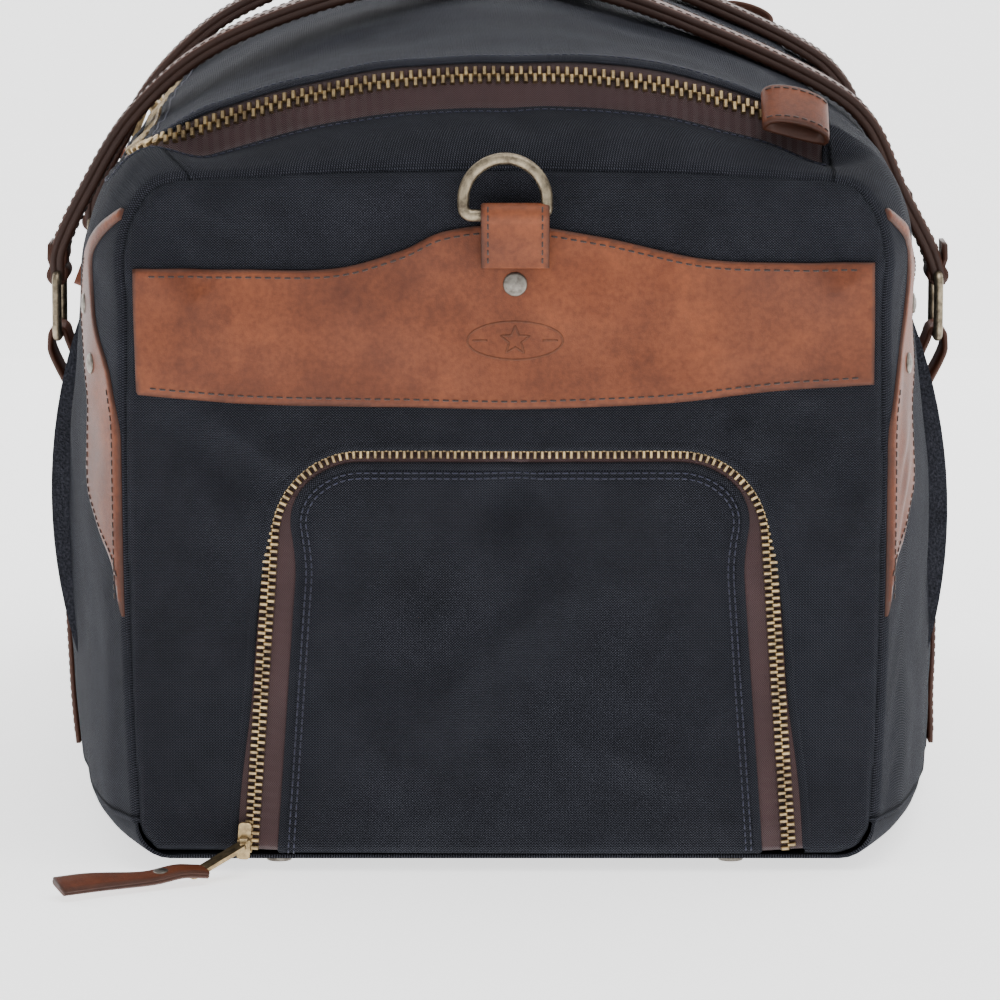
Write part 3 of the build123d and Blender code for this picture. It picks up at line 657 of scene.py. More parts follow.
# ------------------------------------------------------------------ panels cut by an outline
def cut_grid(inside, low, high, step):
    """Vertices and quads of a grid kept where inside(u, v) is positive, pulled onto its outline."""
    us = np.linspace(low[0], high[0], int(round((high[0] - low[0]) / step)) + 1)
    vs = np.linspace(low[1], high[1], int(round((high[1] - low[1]) / step)) + 1)
    u, v = (a.copy() for a in np.meshgrid(us, vs, indexing="ij"))
    s = inside(u, v)
    keep = s > -0.62 * step
    cell = keep[:-1, :-1] & keep[1:, :-1] & keep[1:, 1:] & keep[:-1, 1:]
    used = np.zeros(u.shape, int)
    for a, b in ((0, 0), (1, 0), (1, 1), (0, 1)):
        used[a:a + cell.shape[0], b:b + cell.shape[1]] += cell
    rim = (used > 0) & (used < 4)
    for _ in range(3):
        d = 0.2
        gu = (inside(u[rim] + d, v[rim]) - inside(u[rim] - d, v[rim])) / (2 * d)
        gv = (inside(u[rim], v[rim] + d) - inside(u[rim], v[rim] - d)) / (2 * d)
        size = np.maximum(gu * gu + gv * gv, 0.2)
        value = inside(u[rim], v[rim])
        u[rim] -= np.clip(gu * value / size, -1.5 * step, 1.5 * step)
        v[rim] -= np.clip(gv * value / size, -1.5 * step, 1.5 * step)
    names = -np.ones(u.shape, int)
    names[used > 0] = np.arange(int((used > 0).sum()))
    quads = [
        (names[i, j], names[i + 1, j], names[i + 1, j + 1], names[i, j + 1])
        for i, j in zip(*np.nonzero(cell))
    ]
    kept = used > 0
    return u[kept], v[kept], np.clip(inside(u[kept], v[kept]), 0, None), quads


def solid(name, outer, inner, quads, cloth, look, body, replaces=(), edge=None):
    """A closed piece from a front, a back and the rim between them."""
    count = len(outer)
    sides = {pair: True for quad in quads for pair in zip(quad, quad[1:] + quad[:1])}
    faces = list(quads) + [tuple(i + count for i in quad[::-1]) for quad in quads]
    faces += [(b, a, a + count, b + count) for a, b in sides if (b, a) not in sides]
    if edge is not None:
        # the back is painted nearly as dark as the edges: painted shade where the leather lies on the bag
        edge = np.concatenate([edge, np.maximum(edge, 0.9)])
    return make_mesh(name, np.concatenate([outer, inner]), faces, look, body, replaces,
                     np.concatenate([cloth, cloth]), edge)


def leather_patch(name, polygon, surface, replaces, step=1.8, thick=2.0):
    """Leather laid on a surface(u, v, lift) -> points, normals, cut to an outline."""
    low, high = polygon.min(0) - 2, polygon.max(0) + 2
    u, v, s, quads = cut_grid(lambda u, v: outline_distance(u, v, polygon), low, high, step)
    outer, _ = surface(u, v, thick * (0.72 + 0.28 * rounded(s, 2.0)))
    inner, _ = surface(u, v, np.full_like(u, -0.2))
    edge = np.clip(1 - s / 1.5, 0, 1) ** 1.5
    return solid(name, outer, inner, quads, np.stack([u, v], -1), "leather", "bag", replaces, edge)


def smooth_line(points, count):
    """A curve near a few points, its corners cut four times over, evenly sampled."""
    for _ in range(4):
        first, ahead = points[:-1], points[1:]
        cut = np.stack([0.75 * first + 0.25 * ahead, 0.25 * first + 0.75 * ahead], 1)
        points = np.concatenate([points[:1], cut.reshape(-1, points.shape[1]), points[-1:]])
    run = run_of(points)
    places = np.linspace(0, run[-1], count)
    return np.stack([np.interp(places, run, points[:, k]) for k in range(points.shape[1])], 1)


def through(points, count=60):
    """A Catmull-Rom curve that passes through its points."""
    p = np.asarray(points, float)
    p = np.concatenate([[2 * p[0] - p[1]], p, [2 * p[-1] - p[-2]]])
    made = []
    per = max(4, count // (len(p) - 3))
    for a, b, c, d in zip(p[:-3], p[1:-2], p[2:-1], p[3:]):
        t = np.linspace(0, 1, per, endpoint=False)[:, None]
        made.append(0.5 * (2 * b + (c - a) * t + (2 * a - 5 * b + 4 * c - d) * t ** 2
                           + (3 * b - a - 3 * c + d) * t ** 3))
    return np.concatenate(made + [p[-2:-1]])


# ------------------------------------------------------------------ surfaces
SIDE_Z = np.arange(4.0, 290.0, 1.0)
SIDE_B = {side: np.zeros((len(Y_LINE), len(SIDE_Z))) for side in (-1, 1)}
for i in range(len(Y_LINE)):
    for side in (-1, 1):
        flank = (FORM[i, :, 0] * side > 100) & (B_LINE < 0 if side < 0 else B_LINE > 100)
        order = np.argsort(FORM[i, flank, 1])
        SIDE_B[side][i] = np.interp(SIDE_Z, FORM[i, flank, 1][order], B_LINE[flank][order])


def side_b(side, y, z):
    """Place along the outline where a side has height z."""
    y, z = np.broadcast_arrays(np.asarray(y, float), np.asarray(z, float))
    return lookup(SIDE_B[side], y, z - SIDE_Z[0])


def on_side(side):
    def surface(y, z, lift):
        return skin(y, side_b(side, y, z), lift)
    return surface


def on_end(end):
    def surface(x, z, lift):
        normal = end_normal(x, z, end)
        return end_face(x, z, 0.0, True, end) + normal * np.asarray(lift)[..., None], normal
    return surface


# ------------------------------------------------------------------ the two zips' lines
def main_line(d, step=3.0):
    """(y, b) along the main zip, d outwards from the middle of its teeth."""
    centre_y, centre_b, radius = ZIP_Y - ZIP_CORNER, ZIP_CORNER, ZIP_CORNER + d
    steep = 0.62              # how much of d lies along the bag's length across the ends
    y_radius = ZIP_CORNER + d * steep
    y_edge = centre_y + y_radius
    start = float(at_y(HINGE_B, ZIP_Y))
    across = np.linspace(start, centre_b, int(start / step))
    turn = np.linspace(0, math.pi / 2, 12)[1:-1]
    along = np.linspace(-centre_y, centre_y, int(2 * centre_y / step))
    front = np.stack([np.full_like(across, -y_edge), across], 1)
    corner = np.stack([-centre_y - y_radius * np.cos(turn), centre_b - radius * np.sin(turn)], 1)
    left = np.stack([along, np.full_like(along, centre_b - radius)], 1)
    back = (corner * [-1, 1])[::-1]
    return np.concatenate([front, corner, left, back, (front * [-1, 1])[::-1]])


def pocket_line(d, step=2.0):
    """(x, z) along the pocket's zip, d outwards from the middle of its teeth."""
    low, high, foot = POCKET_HALF[0], POCKET_HALF[1], 9.0
    lean = math.atan2(low - high, POCKET_TOP_Z - foot)
    r = POCKET_CORNER
    cx = high - r * (1 - math.sin(lean)) / math.cos(lean)
    cz = POCKET_TOP_Z - r
    turn = np.linspace(math.pi - lean, math.pi / 2, 16)
    corner = np.stack([-cx + (r + d) * np.cos(turn), cz + (r + d) * np.sin(turn)], 1)
    normal = np.array([-math.cos(lean), math.sin(lean)])
    foot_point = np.array([-low, foot]) + normal * d
    count = int(np.linalg.norm(corner[0] - foot_point) / step)
    leg = foot_point + (corner[0] - foot_point) * np.linspace(0, 1, count, endpoint=False)[:, None]
    half = np.concatenate([leg, corner])
    top = np.stack([np.linspace(corner[-1][0], cx, int(2 * cx / step))[1:-1],
                    np.full(int(2 * cx / step) - 2, corner[-1][1])], 1)
    line = np.concatenate([half, top, (half * [-1, 1])[::-1]])
    return line + [POCKET_X, 0]


pocket_outline = np.concatenate([
    pocket_line(0.0), [[POCKET_X + POCKET_HALF[0], -40], [POCKET_X - POCKET_HALF[0], -40]]])


def flap_gap(z):
    """Tape and teeth showing inside the middle of the pocket's teeth, most along the legs."""
    return 11.6 - 6.2 * fade(z, 120, 162)


def frame_gap(z):
    """The same outside the middle, least along the top."""
    return 6.6 - 2.4 * fade(z, 25, 80) - 3.3 * fade(z, 105, 150)


def frame_lap(z, away):
    """How far the frame's hem stands up over the teeth."""
    return 2.4 * np.exp(-(away / 9.0) ** 2) * fade(z, 90, 150)


def flap_inside(x, z):
    return np.minimum(outline_distance(x, z, pocket_outline) - flap_gap(z), z - 6.0)


def frame_inside(x, z):
    return np.minimum(end_inset(x, z) - 1.5, -outline_distance(x, z, pocket_outline) - frame_gap(z))


# ------------------------------------------------------------------ canvas
def side_rows(step=4.0):
    inner = np.arange(-SEAM_Y + 10, SEAM_Y - 9.9, step)
    near = np.array([0, 0.5, 1.1, 1.9, 2.8, 4.0, 5.6, 7.6])
    return np.concatenate([-SEAM_Y + near, inner, (SEAM_Y - near)[::-1]])


CLOTH_THICK = 1.6


def skin_patch(name, edges, look, replaces, cols, body="bag", lift=0.0, rows=None):
    """Canvas between two outline places, edges(y) -> low, high, over the bag's length."""
    y = side_rows() if rows is None else rows
    low, high = edges(y)
    t = np.linspace(0, 1, cols)
    t = np.concatenate([[0, 0.004, 0.010], t[1:-1], [0.990, 0.996, 1]])
    b = low[:, None] + (high - low)[:, None] * t
    yy = np.broadcast_to(y[:, None], b.shape)
    span = np.minimum(b - low[:, None], high[:, None] - b)
    outer, normal = skin(yy, b, lift + 0.6 * rounded(span, 3.0))
    return thick_sheet(name, outer, normal, CLOTH_THICK, np.stack([yy, b], -1), look, body, replaces)


def body_edge(y):
    """Upper edge of the left canvas, round the main zip's corners."""
    past = np.clip((np.abs(y) - (ZIP_Y - ZIP_CORNER)) / (ZIP_CORNER + BODY_TAPE_END), 0, 1)
    return ZIP_CORNER - (ZIP_CORNER + BODY_TAPE) * np.sqrt(1 - past ** 2)


skin_patch("left_side_canvas", lambda y: (at_y(BASE_LEFT, y), body_edge(y)), "canvas",
           ("left_side_panel",), 110)
skin_patch("right_side_canvas", lambda y: (at_y(HINGE_B, y), at_y(BASE_RIGHT, y)), "canvas",
           ("right_side_panel",), 110)
for end, word in ((-1, "front"), (1, "back")):
    depth = SEAM_Y - ZIP_Y - BODY_TAPE_END
    near = np.concatenate([[0, 0.5, 1.4], np.linspace(3, depth - 5, 12),
                           depth - np.array([3.4, 2.2, 1.2, 0.5, 0])])
    gusset_rows = np.sort(end * (ZIP_Y + BODY_TAPE_END + near))
    skin_patch(f"{word}_gusset_canvas",
               lambda y: (np.full_like(y, ZIP_CORNER - 0.5), at_y(HINGE_B, y) + 0.5), "canvas",
               (f"{word}_top_gusset",), 90, rows=gusset_rows)


def lid_edge(y):
    """Left edge of the lid's canvas, round the same corners."""
    past = np.clip((np.abs(y) - (ZIP_Y - ZIP_CORNER)) / (ZIP_CORNER - LID_TAPE_END), 0, 1)
    return ZIP_CORNER - (ZIP_CORNER - LID_TAPE) * np.sqrt(1 - past ** 2)


lid_far = ZIP_Y - LID_TAPE_END
lid_near = np.array([0, 0.3, 1.0, 2.2, 4.0, 6.5])
lid_rows = np.concatenate([-lid_far + lid_near, np.linspace(-lid_far + 10, lid_far - 10, 110),
                           (lid_far - lid_near)[::-1]])
# the lid wears the lighter canvas copy, with painted light
skin_patch("lid_canvas", lambda y: (lid_edge(y), at_y(HINGE_B, y)), "lid_canvas", ("lid_panel",), 100,
           body="hinge", rows=lid_rows, lift=0.6)

bottom_points, bottom_cloth = [], []
for y in side_rows():
    half = mix(BASE_HALF, 1 - (abs(y) / HALF) ** FLARE) - 0.3
    turn = np.linspace(0, math.pi / 2, 7)
    left = np.stack([-half + BASE_RADIUS * (1 - np.cos(turn)), FOOT + BASE_RADIUS * (1 - np.sin(turn))], 1)
    right = (left * [-1, 1])[::-1]
    flat = np.linspace(left[-1][0], right[0][0], 60)[1:-1]
    line = np.concatenate([left, np.stack([flat, np.full_like(flat, FOOT)], 1), right])
    bottom_points.append(np.stack([line[:, 0], np.full(len(line), y), line[:, 1]], 1))
    bottom_cloth.append(np.stack([np.full(len(line), y), run_of(line)], 1))
bottom_points, bottom_cloth = np.array(bottom_points), np.array(bottom_cloth)
across = bottom_points[..., 0]
bottom_normal = unit(np.stack([across * (np.abs(across) > BASE_HALF[0] - BASE_RADIUS) * 0.006,
                               across * 0, -np.ones_like(across)], -1))
thick_sheet("bottom_canvas", bottom_points, bottom_normal, CLOTH_THICK, bottom_cloth, "canvas", "bag",
            ("bottom_panel",))


def end_panel(name, inside, replaces, end, body="bag", lap=lambda x, z, s: 0.0):
    """Canvas on an end, cut where inside(x, z) is positive and raised by lap."""
    u, v, s, quads = cut_grid(inside, (-156, 3), (156, 297), 2.6)
    rise = 0.8 * rounded(s, 3.0) - 0.8 + lap(u, v, s)
    surface = on_end(end)
    outer, _ = surface(u, v, rise)
    inner, _ = surface(u, v, rise - CLOTH_THICK)
    return solid(name, outer, inner, quads, np.stack([u, v], -1), "canvas", body, replaces)


end_panel("front_end_canvas", frame_inside, ("front_end_panel",), -1,
          lap=lambda x, z, s: frame_lap(z, np.maximum(-outline_distance(x, z, pocket_outline), 0)))
end_panel("back_end_canvas", lambda x, z: end_inset(x, z) - 1.5, ("back_end_panel",), 1)
end_panel("pocket_canvas", flap_inside, ("pocket_flap",), -1, body="pocket_flap",
          lap=lambda x, z, s: 0.9 * rounded(s, 6.0))

# ------------------------------------------------------------------ zips
def ribbon(name, lines, normals, thick, look, body, replaces=()):
    """A flat strip whose width is a stack of lines."""
    outer, normal = np.stack(lines, 1), np.stack(normals, 1)
    wide = np.linalg.norm(np.diff(outer, axis=1), axis=2).cumsum(1)
    wide = np.concatenate([np.zeros((len(outer), 1)), wide], 1)
    cloth = np.stack([wide, np.broadcast_to(run_of(outer[:, 0])[:, None], wide.shape)], -1)
    return thick_sheet(name, outer, normal, thick, cloth, look, body, replaces)


# a tooth of unit size with a narrower top
TOOTH = [(-0.5, 0.0, 0.0), (0.5, 0.0, 0.0), (0.5, 1.0, 0.0), (-0.5, 1.0, 0.0),
         (-0.5, 0.0, 0.72), (0.5, 0.0, 0.72), (0.5, 1.0, 0.72), (-0.5, 1.0, 0.72),
         (-0.3, 0.10, 1.0), (0.3, 0.10, 1.0), (0.3, 0.92, 1.0), (-0.3, 0.92, 1.0)]
TOOTH_FACES = [(3, 2, 1, 0), (0, 1, 5, 4), (1, 2, 6, 5), (2, 3, 7, 6), (3, 0, 4, 7),
               (4, 5, 9, 8), (5, 6, 10, 9), (6, 7, 11, 10), (7, 4, 8, 11), (8, 9, 10, 11)]


def teeth(name, line, normals, toward, pitch, shift, size, look, body, replaces):
    """Metal teeth along a line, each reaching from past the middle towards its own tape."""
    places = spaced(line, pitch, shift)
    centres, ups = sample(line, places), unit(sample(normals, places))
    out = unit(sample(toward, places))
    along = unit(np.cross(out, ups))
    wide, back, reach, tall, sink = size
    template = np.array(TOOTH) * [wide, back + reach, tall] - [0, reach, sink]
    points = (centres[:, None] + along[:, None] * template[None, :, :1]
              + out[:, None] * template[None, :, 1:2] + ups[:, None] * template[None, :, 2:])
    faces = [tuple(i + 12 * k for i in face) for k in range(len(centres)) for face in TOOTH_FACES]
    return make_mesh(name, points.reshape(-1, 3), faces, look, body, replaces, flat=True)


def main_points(d, lift):
    y, b = main_line(d).T
    return skin(y, b, lift)


centre, up = main_points(0.0, 0.4)
outward = main_points(2.0, 0.4)[0] - centre
for side, word, body in ((1, "body", "bag"), (-1, "lid", "lid")):
    spots = [0.2, 2.5, 5.0, 7.5, 10.0, 12.5, 15.5] if side > 0 else [-0.2, -2.5, -5.0, -7.0, -9.0]
    lines = [main_points(d, -0.3 if abs(d) < 6 else -1.4) for d in spots]
    ribbon(f"main_tape_{word}", [a for a, _ in lines], [b for _, b in lines], 0.9, "tape", body,
           (f"main_zip_{word}_tape",))
    teeth(f"main_teeth_{word}", centre, up, outward * side, 3.7, 0.6 if side > 0 else 2.45,
          (1.9, 3.5, 0.5, 2.6, 1.2), "brass", body, (f"main_zip_{word}_chain",))


def pocket_points(d, lift):
    x, z = pocket_line(d).T
    return on_end(-1)(x, z, np.full(len(x), lift))


centre, up = pocket_points(0.0, 0.6)
outward = pocket_points(2.0, 0.6)[0] - centre
for side, word, body in ((1, "frame", "bag"), (-1, "flap", "pocket_flap")):
    spots = [0.1, 3.0, 6.0, 9.0] if side > 0 else [-0.1, -3.5, -7.0, -10.5, -13.5]
    lines = [pocket_points(d, -0.4 if abs(d) < 11 else -1.2) for d in spots]
    ribbon(f"pocket_tape_{word}", [a for a, _ in lines], [b for _, b in lines], 0.8, "tape", body,
           (f"pocket_zip_{word}_tape",))
    teeth(f"pocket_teeth_{word}", centre, up, outward * side, 2.9, 0.4 if side > 0 else 1.85,
          (1.5, 3.0, 0.4, 2.0, 0.8), "brass", body, (f"pocket_zip_{word}_chain",))

# ------------------------------------------------------------------ hems and their stitches
HEM = [(-1.7, -0.6), (1.7, -0.6), (1.9, 0.1), (1.2, 0.75), (0, 1.0), (-1.2, 0.75), (-1.9, 0.1)]


def hem(name, points, normals, look, body):
    ahead = unit(np.gradient(points, axis=0))
    sweep(name, points, unit(np.cross(ahead, normals)), normals, HEM, look, body)


def pocket_edge(gap, extra, lift):
    """Points along the pocket's zip at a distance from its middle that changes with height."""
    base = pocket_line(0.0)
    out = unit(pocket_line(1.0) - base)
    line = base + out * (gap(base[:, 1]) + extra)[:, None]
    rise = lift(line[:, 1]) if callable(lift) else np.full(len(line), lift)
    return on_end(-1)(line[:, 0], line[:, 1], rise)


hem("pocket_frame_hem", *pocket_edge(frame_gap, 1.0, lambda z: frame_lap(z, 4.0) - 0.5), "canvas", "bag")
hem("pocket_flap_hem", *pocket_edge(lambda z: -flap_gap(z), -1.0, 0.1), "canvas", "pocket_flap")
hem("main_body_hem", *main_points(BODY_TAPE + 0.9, -0.1), "canvas", "bag")
hem("main_lid_hem", *main_points(-LID_TAPE - 0.9, 0.8), "lid_canvas", "lid")
flap_rows = [pocket_edge(lambda z: -flap_gap(z), -extra, 1.1) for extra in (3.4, 5.6)]
for name, rows, body in (("pocket_flap", flap_rows, "pocket_flap"),
                         ("main_body", [main_points(BODY_TAPE + 4.2, 0.7)], "bag"),
                         ("main_lid", [main_points(-LID_TAPE - 4.0, 1.4)], "lid")):
    stitches(f"{name}_stitches", rows, "navy_thread", body, pitch=3.2, length=2.3, radius=0.34)

# ------------------------------------------------------------------ leather on the ends
YOKE_TOP = through([(-148, 245), (-110, 244.8), (-70, 244.9), (-42, 252), (-24, 260), (4, 262.5),
                    (38, 257.5), (78, 249), (110, 247.6), (147, 247.5)], 90)
YOKE_LOW = through([(147, 198.5), (110, 196), (60, 191), (0, 189), (-60, 190), (-102, 191),
                    (-147, 194.5)], 60)
YOKE = np.concatenate([YOKE_TOP, YOKE_LOW])


def line_on(surface, points, lift):
    points = np.asarray(points, float)
    return surface(points[:, 0], points[:, 1], np.full(len(points), float(lift)))


for end, word in ((-1, "front"), (1, "back")):
    surface = on_end(end)
    leather_patch(f"{word}_yoke_leather", YOKE, surface, (f"{word}_yoke",))
    rows = [line_on(surface, smooth_line(YOKE_TOP, 160)[3:-3] - [0, 3.0], 2.0),
            line_on(surface, smooth_line(YOKE_LOW, 160)[3:-3] + [0, 3.2], 2.0)]
    stitches(f"{word}_yoke_stitches", rows, "thread", "bag", pitch=3.9, length=2.7, radius=0.42)


def domes(name, spots, radius, height, look, body, replaces=()):
    """Low rivet heads with a rolled rim at (point, normal) places."""
    profile = [(1.0, -0.3), (1.0, 0.25), (0.93, 0.5), (0.80, 0.60), (0.66, 0.66), (0.4, 0.9), (0.0, 1.0)]
    points, faces, count = [], [], 28
    for spot, normal in spots:
        normal = unit(np.asarray(normal, float))
        aside = unit(np.cross(normal, [0.3, 0.2, 1.0]))
        other = np.cross(normal, aside)
        base = len(points)
        for r, h in profile[:-1]:
            for a in np.linspace(0, 2 * math.pi, count, endpoint=False):
                round_it = aside * math.cos(a) + other * math.sin(a)
                points.append(spot + radius * r * round_it + normal * height * h)
        points.append(spot + normal * height)
        for k in range(len(profile) - 2):
            for j in range(count):
                a, b = base + k * count + j, base + k * count + (j + 1) % count
                faces.append((a, b, b + count, a + count))
        last = base + (len(profile) - 2) * count
        faces += [(last + j, last + (j + 1) % count, len(points) - 1) for j in range(count)]
        faces.append(tuple(base + j for j in range(count - 1, -1, -1)))
    return make_mesh(name, points, faces, look, body, replaces)


def spot_on(surface, u, v, lift):
    point, normal = surface(np.array([float(u)]), np.array([float(v)]), np.array([lift]))
    return point[0], normal[0]


domes("yoke_rivet_heads", [spot_on(on_end(end), 4, 239, 2.0) for end in (-1, 1)], 4.8, 1.7, "rivet", "bag",
      ("yoke_rivets",))

STAMP_X, STAMP_Z = 4.0, 216.5
STAMP_OVAL = (19.0, 7.6)
STAMP_BAR = (11, 17)          # the bars beside the star, from and to this far out
STAR_RADII = (6.0, 2.6)
STAR = [(math.cos(a) * r, math.sin(a) * r) for a, r in
        ((math.pi / 2 + k * math.pi / 5, STAR_RADII[k % 2]) for k in range(10))]
TAB_X, TAB_Y, TAB_Z = 116.0, 233.5, 310.5     # where the loop's bottom begins, on the zip line
TAB_OUT = 13.6                                # from there outwards to its middle
TAB_SLOPE, TAB_LEAN = math.radians(24), math.radians(38)      # down to the right, and outwards
for end, word in ((-1, "front"), (1, "back")):
    surface = on_end(end)
    oval = [(STAMP_X + STAMP_OVAL[0] * math.cos(a), STAMP_Z + STAMP_OVAL[1] * math.sin(a))
            for a in np.linspace(0, 2 * math.pi, 60)]
    star = [(STAMP_X + x, STAMP_Z + y) for x, y in STAR + STAR[:1]]
    bars = [[(STAMP_X + k * reach, STAMP_Z) for reach in STAMP_BAR] for k in (-1, 1)]
    for index, mark in enumerate([oval, star] + bars):
        mark = np.asarray(mark)
        fine = np.concatenate([np.linspace(a, b, 8, endpoint=False) for a, b in zip(mark[:-1], mark[1:])]
                              + [mark[-1:]])
        line, normal = line_on(surface, fine, 1.86)
        ahead = unit(np.gradient(line, axis=0))
        sweep(f"{word}_stamp_{index}", line, unit(np.cross(ahead, normal)), normal,
              [(-0.55, -0.2), (0.55, -0.2), (0.4, 0.28), (-0.4, 0.28)], "stamp", "bag")

    # the leather loop that holds the D-ring
    bar_y, bar_z, round_r = end * 282.6, 267.0, 3.9
    up_front = [(end * 281.2, 246.0), (end * 281.9, 250.0), (end * 284.6, 256.0)]
    turn = np.linspace(math.radians(-40), math.radians(200), 18)
    over = [(bar_y + end * round_r * math.cos(a), bar_z + round_r * math.sin(a)) for a in turn]
    down = [(end * 279.6, 258.0), (end * 279.2, 250.0)]
    track = np.array([(0, y, z) for y, z in up_front + over + down])
    track = smooth_line(track, 70)
    ahead = unit(np.gradient(track, axis=0))
    aside = np.tile([1.0, 0, 0], (len(track), 1))
    out = unit(np.cross(aside, ahead)) * -end
    out = out * np.sign(out[2][1] * end)
    half = 13.6
    outline = [(-half, -1), (0, -1), (half, -1), (half, 0.5), (half - 0.7, 1), (half - 2.4, 1.05),
               (0, 1.1), (-half + 2.4, 1.05), (-half + 0.7, 1), (-half, 0.5)]
    # edge_of darkens the loop's edges, and its back at 0.3: painted shade where it lies on the bag
    sweep(f"{word}_ring_loop", track + [4, 0, 0], aside, out, outline, "leather", "bag",
          (f"{word}_ring_chape",), edge_of=np.array([1, .3, 1, 1, .7, 0, 0, 0, .7, 1.0]))
    rows = [(track[2:34] + [4 + w, 0, 0] + out[2:34], out[2:34]) for w in (-10.8, 10.8)]
    stitches(f"{word}_ring_loop_stitches", rows, "thread", "bag")

    # the leather loop over the main zip's right end
    axis = np.array([0, end * math.cos(TAB_LEAN), -math.sin(TAB_LEAN)])
    aside = np.array([math.cos(TAB_SLOPE), 0, -math.sin(TAB_SLOPE)])
    aside = unit(aside - axis * aside.dot(axis))
    rise = np.cross(aside, axis)
    rise = rise * np.sign(rise[2])
    arch = np.linspace(math.pi, 0, 26)
    ring = [(13.2 * math.cos(a), 6.2 * math.sin(a) ** 0.8 + 0.6) for a in arch]
    ring += [(12.9, -0.6), (8, -0.9), (0, -1.0), (-8, -0.9), (-12.9, -0.6)]
    ring = np.array(ring)
    origin = np.array([TAB_X, end * TAB_Y, TAB_Z])
    track = origin + ring[:, :1] * aside + ring[:, 1:] * rise + axis * TAB_OUT
    ahead = unit(np.roll(track, -1, 0) - np.roll(track, 1, 0))
    wide = np.tile(axis, (len(track), 1))
    out = unit(np.cross(ahead, wide))
    out = out * np.sign((out * (track - track.mean(0))).sum(1))[:, None]
    # edge_of darkens the loop's edges, and its whole inner face: painted shade inside the loop
    sweep(f"{word}_tab_leather", track, wide, out,
          [(-10.5, -1), (10.5, -1), (10.5, 0.5), (9.8, 1), (8, 1.05), (-8, 1.05), (-9.8, 1),
           (-10.5, 0.5)],
          "leather", "bag", (f"{word}_zip_tab",), closed=True,
          edge_of=np.array([1, 1, 1, .8, 0, 0, .8, 1.0]))
    rows = [(track[2:24] + wide[2:24] * w + out[2:24] * 1.05, out[2:24]) for w in (-8.2, 8.2)]
    stitches(f"{word}_tab_stitches", rows, "thread", "bag")

# ------------------------------------------------------------------ leather on the sides
BAND_OUTER = through([(-272.6, 103), (-266, 124), (-251, 138), (-239, 152), (-236.5, 172), (-235, 188),
                      (-220, 203), (-208, 216), (-209, 228), (-222, 241), (-240, 252), (-256, 261),
                      (-270, 269)], 140)
BAND_INNER = through([(-271, 264), (-258, 255), (-247, 246), (-243, 236), (-246, 224), (-254, 214),
                      (-262, 205), (-268, 194), (-272, 182), (-272.6, 160), (-272.6, 112)], 120)
BAND_RIVETS = ((225.0, 50.0), (203.0, 31.0))       # height, and distance from the bag's end
STRAP_HALF, STRAP_BEND = 13.0, 3.4
for side, side_word in ((-1, "left"), (1, "right")):
    for end, word in ((-1, "front"), (1, "back")):
        surface = on_side(side)
        band = np.concatenate([BAND_OUTER, BAND_INNER]) * [-end, 1]
        leather_patch(f"{side_word}_{word}_band_leather", band, surface, (f"{side_word}_{word}_band",),
                      step=1.5)
        rows = []
        for edge_line, inwards, low_z, high_z in ((BAND_OUTER, 1, 108, 246), (BAND_INNER, -1, 112, 196)):
            ahead = unit(np.gradient(edge_line, axis=0))
            row = edge_line + np.stack([-ahead[:, 1], ahead[:, 0]], 1) * 3.2
            row = row[(row[:, 1] > low_z) & (row[:, 1] < high_z) & (row[:, 0] > -272)]
            rows.append(line_on(surface, row * [-end, 1], 2.0))
        stitches(f"{side_word}_{word}_band_stitches", rows, "thread", "bag")

        spots = [spot_on(surface, end * (HALF - depth), z, 2.0)
                 for z, depth in BAND_RIVETS]
        domes(f"{side_word}_{word}_band_rivet_heads", spots, 4.2, 1.6, "rivet", "bag",
              ("band_rivets",) if (side, end) == (-1, -1) else ())

        # the strap up the side, round the ring's low bar and back down under itself
        ring = np.array([side * RING_X[side], end * RING_Y, RING_LOW_Z])
        heights = np.concatenate([np.arange(22, 168, 4.0), [168, 172]])
        flank, _ = surface(np.full_like(heights, end * RING_Y), heights, np.full_like(heights, 1.5))
        turn = np.linspace(math.radians(10), math.radians(190), 12)
        loop = ring + STRAP_BEND * np.stack([side * np.cos(turn), turn * 0, np.sin(turn)], 1)
        under_z = np.array([184.0, 176, 166, 156])
        under, _ = surface(np.full(4, end * RING_Y), under_z, np.full(4, -0.4))
        rise = loop[0] + np.array([[side * 0.4, 0, -8.0], [side * 0.2, 0, -3.5]])
        line = smooth_line(np.concatenate([flank, rise, loop, under]), 150)
        ahead = unit(np.gradient(line, axis=0))
        across = np.tile([0.0, 1.0, 0.0], (len(line), 1))
        out = unit(np.cross(ahead, across))
        out *= np.sign((out[:1] * [side, 0, 0]).sum(1))[:, None]
        half, t = STRAP_HALF, 1.0
        outline = [(-half, -t), (0, -t), (half, -t), (half, t * 0.5), (half - 0.6, t), (half - 2, t),
                   (0, t), (-half + 2, t), (-half + 0.6, t), (-half, t * 0.5)]
        # edge_of darkens the strap's edges, and its back at 0.2: painted shade where it lies on the bag
        sweep(f"{side_word}_{word}_strap_leather", line, across, out, outline, "leather", "bag",
              (f"{side_word}_{word}_strap",), edge_of=np.array([1, 0.2, 1, 1, .8, 0, 0, 0, .8, 1.0]))
        low = flank[1:-2]
        normal = out[:1].repeat(len(low), 0)
        rows = [(low + [0, w, 0] + normal, normal) for w in (-half + 3, half - 3)]
        stitches(f"{side_word}_{word}_strap_stitches", rows, "thread", "bag")

# ------------------------------------------------------------------ handles
# each handle's rise from its rings: (distance inwards, height above the rings' low bars)
HANDLE_ARCH = {
    -1: [(0, 26), (1, 38), (12, 61), (31, 92), (59, 118), (95, 135.5), (137, 147.5), (184, 153)],
    1: [(0, 26), (4, 38), (16.5, 62), (29.5, 90), (50, 107), (95, 128), (137, 143), (184, 150)],
}
GRIP_X, TURN = 25.0, 61.0         # the grips' place beside the middle, and the corners' radius


